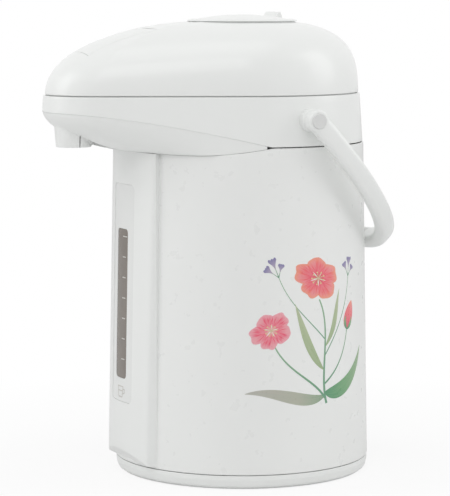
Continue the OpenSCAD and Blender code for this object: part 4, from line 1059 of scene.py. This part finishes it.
# a plain cup below the window, as strokes from (x, z) to (x, z)
CUP_X = 0.5
CUP_Z = 61.5
CUP_PEN = 0.75
CUP_LINES = [(-4.6, 4.0, 4.0, 4.0), (-4.6, 4.2, -3.2, -3.8), (4.0, 4.2, 2.6, -3.8), (-3.4, -3.6, 2.8, -3.6),
             (3.7, 2.4, 6.2, 2.2), (6.2, 2.4, 5.9, -0.8), (6.0, -0.6, 3.1, -1.2), (-3.6, 0.8, 3.2, 0.8)]


def cup_line(a, b):
    """A stroke of the cup on the film, between two points counted from its middle."""
    along = Vector(b) - Vector(a)
    side = Vector((-along.y, along.x)).normalized() * (CUP_PEN / 2)

    def place(u, v, lift):
        p = Vector(a) + along * u + side * (2 * v - 1)
        return on_face(CUP_X + p.x, CUP_Z + p.y, lift - INLAY_INSET)
    return mark(place, 4, 1)


def make_marks():
    listed("scale_ink").colour((0.50, 0.48, 0.45), (0.62, 0.60, 0.57), 1.5) \
        .roughness(0.4, 0.52, 1.0).bump(0.4, 0.001)
    marks = []
    for k in range(MARK_COUNT):
        z = MARK_TOP_Z - MARK_STEP * k
        right = 7.2 if k == 0 else 5.6
        marks.append(scale_mark(0.6, right, z - 0.4, z + 0.4))
    for x0, z0, x1, z1 in CUP_LINES:
        marks.append(cup_line((x0, z0), (x1, z1)))
    marks = join(marks)
    marks.name = "scale_marks"
    marks.data.materials.append(MATERIALS["scale_ink"])
    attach(marks, "pot")


# ======== flower print on the shell
PRINT_AZIMUTH = 98.0
PRINT_Z = 118.0
PRINT_LIFT = 0.05
LAYER_LIFT = 0.01
PAINTED = {}


def painted(kind, layer, at, nu=8, nv=24):
    """A painted form; at(u, v) is its place on the print, with u from -1 to 1 across it, v from 0 to 1."""
    def side(lift):
        def place(u, v):
            s, t = at(2 * u - 1, v)
            r = shell_r(PRINT_Z + t)
            return polar(r + lift, PRINT_AZIMUTH + math.degrees(s / r), PRINT_Z + t)
        return place
    form = patch("painted", side(PRINT_LIFT + LAYER_LIFT * layer), side(-0.1), nu, nv)
    layer_uv = form.data.uv_layers.new(name="paint")
    for loop in form.data.loops:
        j, i = divmod(loop.vertex_index % ((nu + 1) * (nv + 1)), nu + 1)
        layer_uv.data[loop.index].uv = (i / nu, j / nv)
    PAINTED.setdefault(kind, []).append(form)


def bezier(p, t):
    a, b, c, d = (Vector(q) for q in p)
    return a * (1 - t) ** 3 + b * (3 * t * (1 - t) ** 2) + c * (3 * t * t * (1 - t)) + d * t ** 3


def stroke(kind, layer, points, width, profile, nu=6, nv=28):
    """A leaf, stem or slim petal along a curve."""
    def at(u, v):
        ahead = bezier(points, min(1, v + 0.01)) - bezier(points, max(0, v - 0.01))
        across = Vector((ahead.y, -ahead.x)).normalized()
        place = bezier(points, v) + across * (u * width / 2 * profile(v))
        return place.x, place.y
    painted(kind, layer, at, nu, nv)


def leaf_shape(v):
    return 0.02 + math.sin(math.pi * clamp01(v) ** 0.8) ** 0.85


def stem_shape(v):
    return 1 - 0.45 * v


def bell_shape(v):
    return 0.25 + 0.75 * v * v * (1.6 - 0.6 * v) - 0.72 * smooth((v - 0.86) / 0.14)


def petal(kind, layer, centre, angle, length, spread, squash, lean, ripple=0.0):
    """A petal of an open blossom that is seen at a slant: squash shortens it along the lean's direction."""
    turn = math.radians(angle)
    lean_x = math.cos(math.radians(lean))
    lean_y = math.sin(math.radians(lean))

    def at(u, v):
        wide = 0.5 + 0.5 * math.sin(math.pi * 0.62 * v)
        edge = 1 - 0.3 * abs(u) ** 2.4 + 0.035 * math.sin(7 * u + ripple) - 0.05 * math.exp(-(u * 5) ** 2)
        r = length * v * mix(1.0, edge, v)
        t = turn + math.radians(spread) * u * wide
        x = r * math.cos(t)
        y = r * math.sin(t)
        along = x * lean_x + y * lean_y
        x -= lean_x * along * (1 - squash)
        y -= lean_y * along * (1 - squash)
        return centre[0] + x, centre[1] + y
    painted(kind, layer, at, 14, 18)


def blossom(kind, layer, centre, size, squash, lean, turn):
    for k in range(5):
        length = size * (1, 0.93, 1.04, 0.96, 1.02)[k]
        petal(kind, layer + k % 3, centre, turn + 72 * k, length, 41, squash, lean, 1.9 * k)
    for k in range(9):
        a = math.radians(turn + 40 * k)
        tip = (centre[0] + size * 0.26 * math.cos(a), centre[1] + size * 0.26 * squash * math.sin(a))
        middle = (mix(centre[0], tip[0], 0.5) + 0.3, mix(centre[1], tip[1], 0.5) + 0.3)
        stroke("print_stamen", layer + 4, (centre, middle, tip, tip_beyond(centre, tip)), size * 0.06,
               lambda v: 0.35 + 1.3 * smooth((v - 0.7) / 0.2) - 1.5 * smooth((v - 0.93) / 0.07), 4, 12)


def tip_beyond(a, b):
    return mix(a[0], b[0], 1.15), mix(a[1], b[1], 1.15)


def bells(centre, size, angle, count):
    """A spray of slim bells on thin stalks."""
    for k in range(count):
        a = math.radians(angle + 34 * (k - (count - 1) / 2))
        start = Vector(centre)
        ahead = Vector((math.cos(a), math.sin(a)))
        side = Vector((-ahead.y, ahead.x))
        reach = size * (0.9 + 0.22 * ((k * 2) % 3))
        neck = start + ahead * reach * 0.5
        stalk = (start, start + ahead * reach * 0.2, neck - ahead, neck)
        stroke("print_stem", 1, stalk, 0.55, stem_shape, 2, 10)
        for j in (-1, 0, 1):
            tip = neck + ahead * reach * 0.62 + side * (j * reach * 0.2)
            curve = (neck, neck + ahead * reach * 0.22,
                     neck + ahead * reach * 0.4 + side * (j * reach * 0.1), tip)
            stroke("print_violet", 3 + (j == 0), curve, size * 0.3, bell_shape, 5, 14)


# paint: colour stops from root to tip, colour of the streaks, their share
PAINTS = {
    "print_coral": (((0.0, (0.56, 0.02, 0.07)), (0.3, (0.80, 0.055, 0.12)), (0.72, (0.84, 0.15, 0.16)),
        (1.0, (0.86, 0.33, 0.19))), (0.84, 0.38, 0.40), 0.62),
    "print_rose": (((0.0, (0.80, 0.55, 0.52)), (0.3, (0.82, 0.10, 0.18)), (0.7, (0.80, 0.09, 0.17)),
        (1.0, (0.82, 0.36, 0.42))), (0.85, 0.55, 0.56), 0.6),
    "print_leaf": (((0.0, (0.06, 0.27, 0.15)), (0.5, (0.15, 0.36, 0.17)), (1.0, (0.30, 0.42, 0.25))),
        (0.28, 0.45, 0.24), 0.5),
    "print_pale_leaf": (((0.0, (0.30, 0.42, 0.22)), (1.0, (0.45, 0.52, 0.33))), (0.52, 0.56, 0.40), 0.5),
    "print_grey_leaf": (((0.0, (0.20, 0.36, 0.22)), (0.4, (0.42, 0.45, 0.36)),
        (1.0, (0.46, 0.46, 0.42))), (0.5, 0.46, 0.40), 0.5),
    "print_stem": (((0.0, (0.10, 0.30, 0.18)), (1.0, (0.24, 0.42, 0.26))), (0.34, 0.46, 0.32), 0.4),
    "print_violet": (((0.0, (0.46, 0.44, 0.46)), (0.45, (0.36, 0.32, 0.46)), (1.0, (0.14, 0.14, 0.34))),
        (0.45, 0.38, 0.52), 0.5),
    "print_stamen": (((0.0, (0.62, 0.48, 0.30)), (1.0, (0.74, 0.62, 0.28))), (0.8, 0.74, 0.5), 0.4),
}


def paint(name, stops, streak, share):
    """Paint whose colour runs from the root to the tip of each form, with streaks along it."""
    finish = Finish(name, Coat_Weight=0.35, Coat_Roughness=0.06)
    tree = finish.tree
    uv = node(tree, "ShaderNodeUVMap", uv_map="paint")
    parts = node(tree, "ShaderNodeSeparateXYZ")
    finish.link(uv.outputs["UV"], parts.inputs["Vector"])
    ramp = node(tree, "ShaderNodeValToRGB")
    while len(ramp.color_ramp.elements) < len(stops):
        ramp.color_ramp.elements.new(0.5)
    for element, (place, colour) in zip(ramp.color_ramp.elements, stops):
        element.position = place
        element.color = (*colour, 1)
    finish.link(parts.outputs["Y"], ramp.inputs["Fac"])
    stretch = node(tree, "ShaderNodeMapping")
    stretch.inputs["Scale"].default_value = (9, 1.3, 1)
    finish.link(uv.outputs["UV"], stretch.inputs["Vector"])
    grain = node(tree, "ShaderNodeTexNoise", Scale=1.6, Detail=4.0)
    finish.link(stretch.outputs["Vector"], grain.inputs["Vector"])
    spread = node(tree, "ShaderNodeMapRange")
    spread.inputs["From Min"].default_value = 0.38
    spread.inputs["From Max"].default_value = 0.68
    spread.inputs["To Max"].default_value = share
    finish.link(grain.outputs["Fac"], spread.inputs["Value"])
    blend = node(tree, "ShaderNodeMix", data_type="RGBA")
    blend.inputs[7].default_value = (*streak, 1)
    finish.link(spread.outputs["Result"], blend.inputs["Factor"])
    finish.link(ramp.outputs["Color"], blend.inputs[6])
    finish.link(blend.outputs[2], finish.shader.inputs["Base Color"])
    finish.roughness(0.26, 0.36, 2.0).bump(0.8, 0.001)
    return finish.material


def make_print():
    root = (11, -60)
    stroke("print_stem", 1, (root, (4, -38), (17, -8), (5, 14)), 1.9, stem_shape)
    stroke("print_stem", 1, ((9.5, -56), (0, -42), (-22, -36), (-31, -16)), 1.7, stem_shape)
    stroke("print_stem", 1, ((9.4, -46), (22, -38), (31, -26), (34, -9)), 1.3, stem_shape)
    stroke("print_stem", 0, ((9.6, -14), (-4, 0), (-20, 12), (-27, 31)), 0.8, stem_shape)
    stroke("print_stem", 0, ((9.8, -26), (24, -8), (34, 8), (36, 28)), 0.8, stem_shape)
    stroke("print_leaf", 2, ((9.6, -52), (20, -56), (42, -50), (55, -24)), 10.5, leaf_shape)
    stroke("print_pale_leaf", 2, ((8.6, -36), (-4, -24), (-8, -8), (-15, 12)), 6.0, leaf_shape)
    stroke("print_grey_leaf", 0, ((9.4, -54), (-8, -62), (-28, -46), (-52, -50)), 8.5, leaf_shape)
    stroke("print_pale_leaf", 0, ((10, -20), (22, -6), (20, 4), (25, 20)), 4.2, leaf_shape)
    blossom("print_coral", 4, (4, 29), 19.5, 0.8, 70, 18)
    blossom("print_rose", 4, (-33, -6), 15.5, 0.86, 120, 50)
    for k, (bend, width) in enumerate(((-3.2, 6.4), (3.2, 6.4), (0, 7.0))):
        stroke("print_coral", 5 + k, ((34, -9), (35 + bend, -4), (38 + bend * 0.7, 4), (40.5, 10)), width,
               lambda v: 0.05 + math.sin(math.pi * v ** 0.7) ** 0.8)
    stroke("print_leaf", 8, ((34, -10), (31, -6), (31.5, -3), (33, 0)), 2.6, leaf_shape)
    stroke("print_leaf", 8, ((34, -10), (38, -8), (40, -5), (40, -1)), 2.4, leaf_shape)
    bells((-27, 31), 9.5, 112, 3)
    bells((36, 28), 9.0, 84, 3)
    paints = {kind: paint(kind, *mix_of) for kind, mix_of in PAINTS.items()}
    for kind, forms in PAINTED.items():
        made = join(forms)
        made.name = kind
        made.data.materials.append(paints[kind])
        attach(made, "pot")


make_base()
make_shell()
make_panel()
make_inlay()
make_collar()
make_cover()
make_nozzle()
make_lid()
make_lip()
make_latch()
make_plate()
make_lock_ring()
make_handle()
make_marks()
make_print()


# ======== floor, light and camera
FLOOR_WHITE = 0.86
FLOOR_BOUNCE = (0.84, 0.84, 0.84, 1)
WHITE = (1, 1, 1, 1)


def wire(tree, *links):
    """Links nodes, each link as (node, output, node, input)."""
    for a, out, b, into in links:
        tree.links.new(a.outputs[out], b.inputs[into])


def make_stage():
    floor = block("floor", (-6000, -6000, -20), (6000, 6000, -0.02))
    material = bpy.data.materials.new("floor")
    material.use_nodes = True
    tree = material.node_tree
    shader = tree.nodes["Principled BSDF"]
    shader.inputs["Base Color"].default_value = FLOOR_BOUNCE
    shader.inputs["Roughness"].default_value = 0.9
    shader.inputs["Specular IOR Level"].default_value = 0.0
    glow = node(tree, "ShaderNodeEmission", Color=WHITE)
    path = node(tree, "ShaderNodeLightPath")
    share = node(tree, "ShaderNodeMath", operation="MULTIPLY")
    # near the pot the floor shows a little of its shade, farther off it is the backdrop's white
    place = node(tree, "ShaderNodeNewGeometry")
    reach = node(tree, "ShaderNodeVectorMath", operation="LENGTH")
    fade = node(tree, "ShaderNodeMapRange")
    fade.inputs["From Min"].default_value = 0.12
    fade.inputs["From Max"].default_value = 0.42
    fade.inputs["To Min"].default_value = FLOOR_WHITE
    fade.inputs["To Max"].default_value = 1.0
    blend = node(tree, "ShaderNodeMixShader")
    wire(tree, (place, "Position", reach, 0), (reach, "Value", fade, "Value"), (fade, "Result", share, 1),
         (path, "Is Camera Ray", share, 0), (share, 0, blend, 0), (shader, 0, blend, 1), (glow, 0, blend, 2),
         (blend, 0, tree.nodes["Material Output"], "Surface"))
    floor.data.materials.append(material)


WORLD_LIGHT = 0.6


def make_world():
    world = bpy.data.worlds.new("studio")
    bpy.context.scene.world = world
    world.use_nodes = True
    tree = world.node_tree
    soft = tree.nodes["Background"]
    soft.inputs["Color"].default_value = WHITE
    soft.inputs["Strength"].default_value = WORLD_LIGHT
    white = node(tree, "ShaderNodeBackground", Color=WHITE, Strength=1.0)
    path = node(tree, "ShaderNodeLightPath")
    seen = node(tree, "ShaderNodeMath", operation="MAXIMUM")
    seen_all = node(tree, "ShaderNodeMath", operation="MAXIMUM")
    blend = node(tree, "ShaderNodeMixShader")
    wire(tree, (path, "Is Camera Ray", seen, 0), (path, "Is Transmission Ray", seen, 1),
         (seen, 0, seen_all, 0), (path, "Is Glossy Ray", seen_all, 1), (seen_all, 0, blend, 0),
         (soft, 0, blend, 1), (white, 0, blend, 2), (blend, 0, tree.nodes["World Output"], "Surface"))


def softbox(name, azimuth, height, distance, width, tall, power):
    """An area lamp aimed at the pot; the azimuth is counted from the front like the camera's."""
    data = bpy.data.lights.new(name, "AREA")
    data.shape = "RECTANGLE"
    data.size = width
    data.size_y = tall
    data.energy = power
    lamp = bpy.data.objects.new(name, data)
    bpy.context.scene.collection.objects.link(lamp)
    a = math.radians(azimuth)
    lamp.location = (distance * math.sin(a), -distance * math.cos(a), height)
    aim = Vector((0, -0.02, 0.18)) - lamp.location
    lamp.rotation_euler = aim.to_track_quat("-Z", "Y").to_euler()


CAMERA_PLACE = (1.500, -0.7317, 0.3446)
CAMERA_AZIMUTH = 64.0
CAMERA_TILT = 0.110
CAMERA_YAW = 0.0072
CAMERA_LENS = 166.9


def make_camera():
    data = bpy.data.cameras.new("camera")
    data.lens = CAMERA_LENS
    data.sensor_width = 36.0
    data.clip_start = 0.05
    data.clip_end = 50.0
    camera = bpy.data.objects.new("camera", data)
    bpy.context.scene.collection.objects.link(camera)
    a = math.radians(CAMERA_AZIMUTH)
    level = math.cos(CAMERA_TILT)
    look = Vector((-math.sin(a) * level, math.cos(a) * level, -math.sin(CAMERA_TILT)))
    look = Matrix.Rotation(CAMERA_YAW, 3, "Z") @ look
    camera.location = CAMERA_PLACE
    camera.rotation_euler = look.to_track_quat("-Z", "Y").to_euler()
    bpy.context.scene.camera = camera


make_stage()
make_world()
softbox("left", -22, 1.1, 2.0, 1.0, 1.6, 9)
softbox("right", 152, 1.1, 2.0, 1.0, 1.6, 9)
softbox("front", 56, 1.9, 2.4, 1.2, 1.2, 10)
softbox("top", 60, 2.6, 0.7, 1.8, 1.8, 9)
make_camera()
bpy.context.scene.view_settings.view_transform = "Standard"
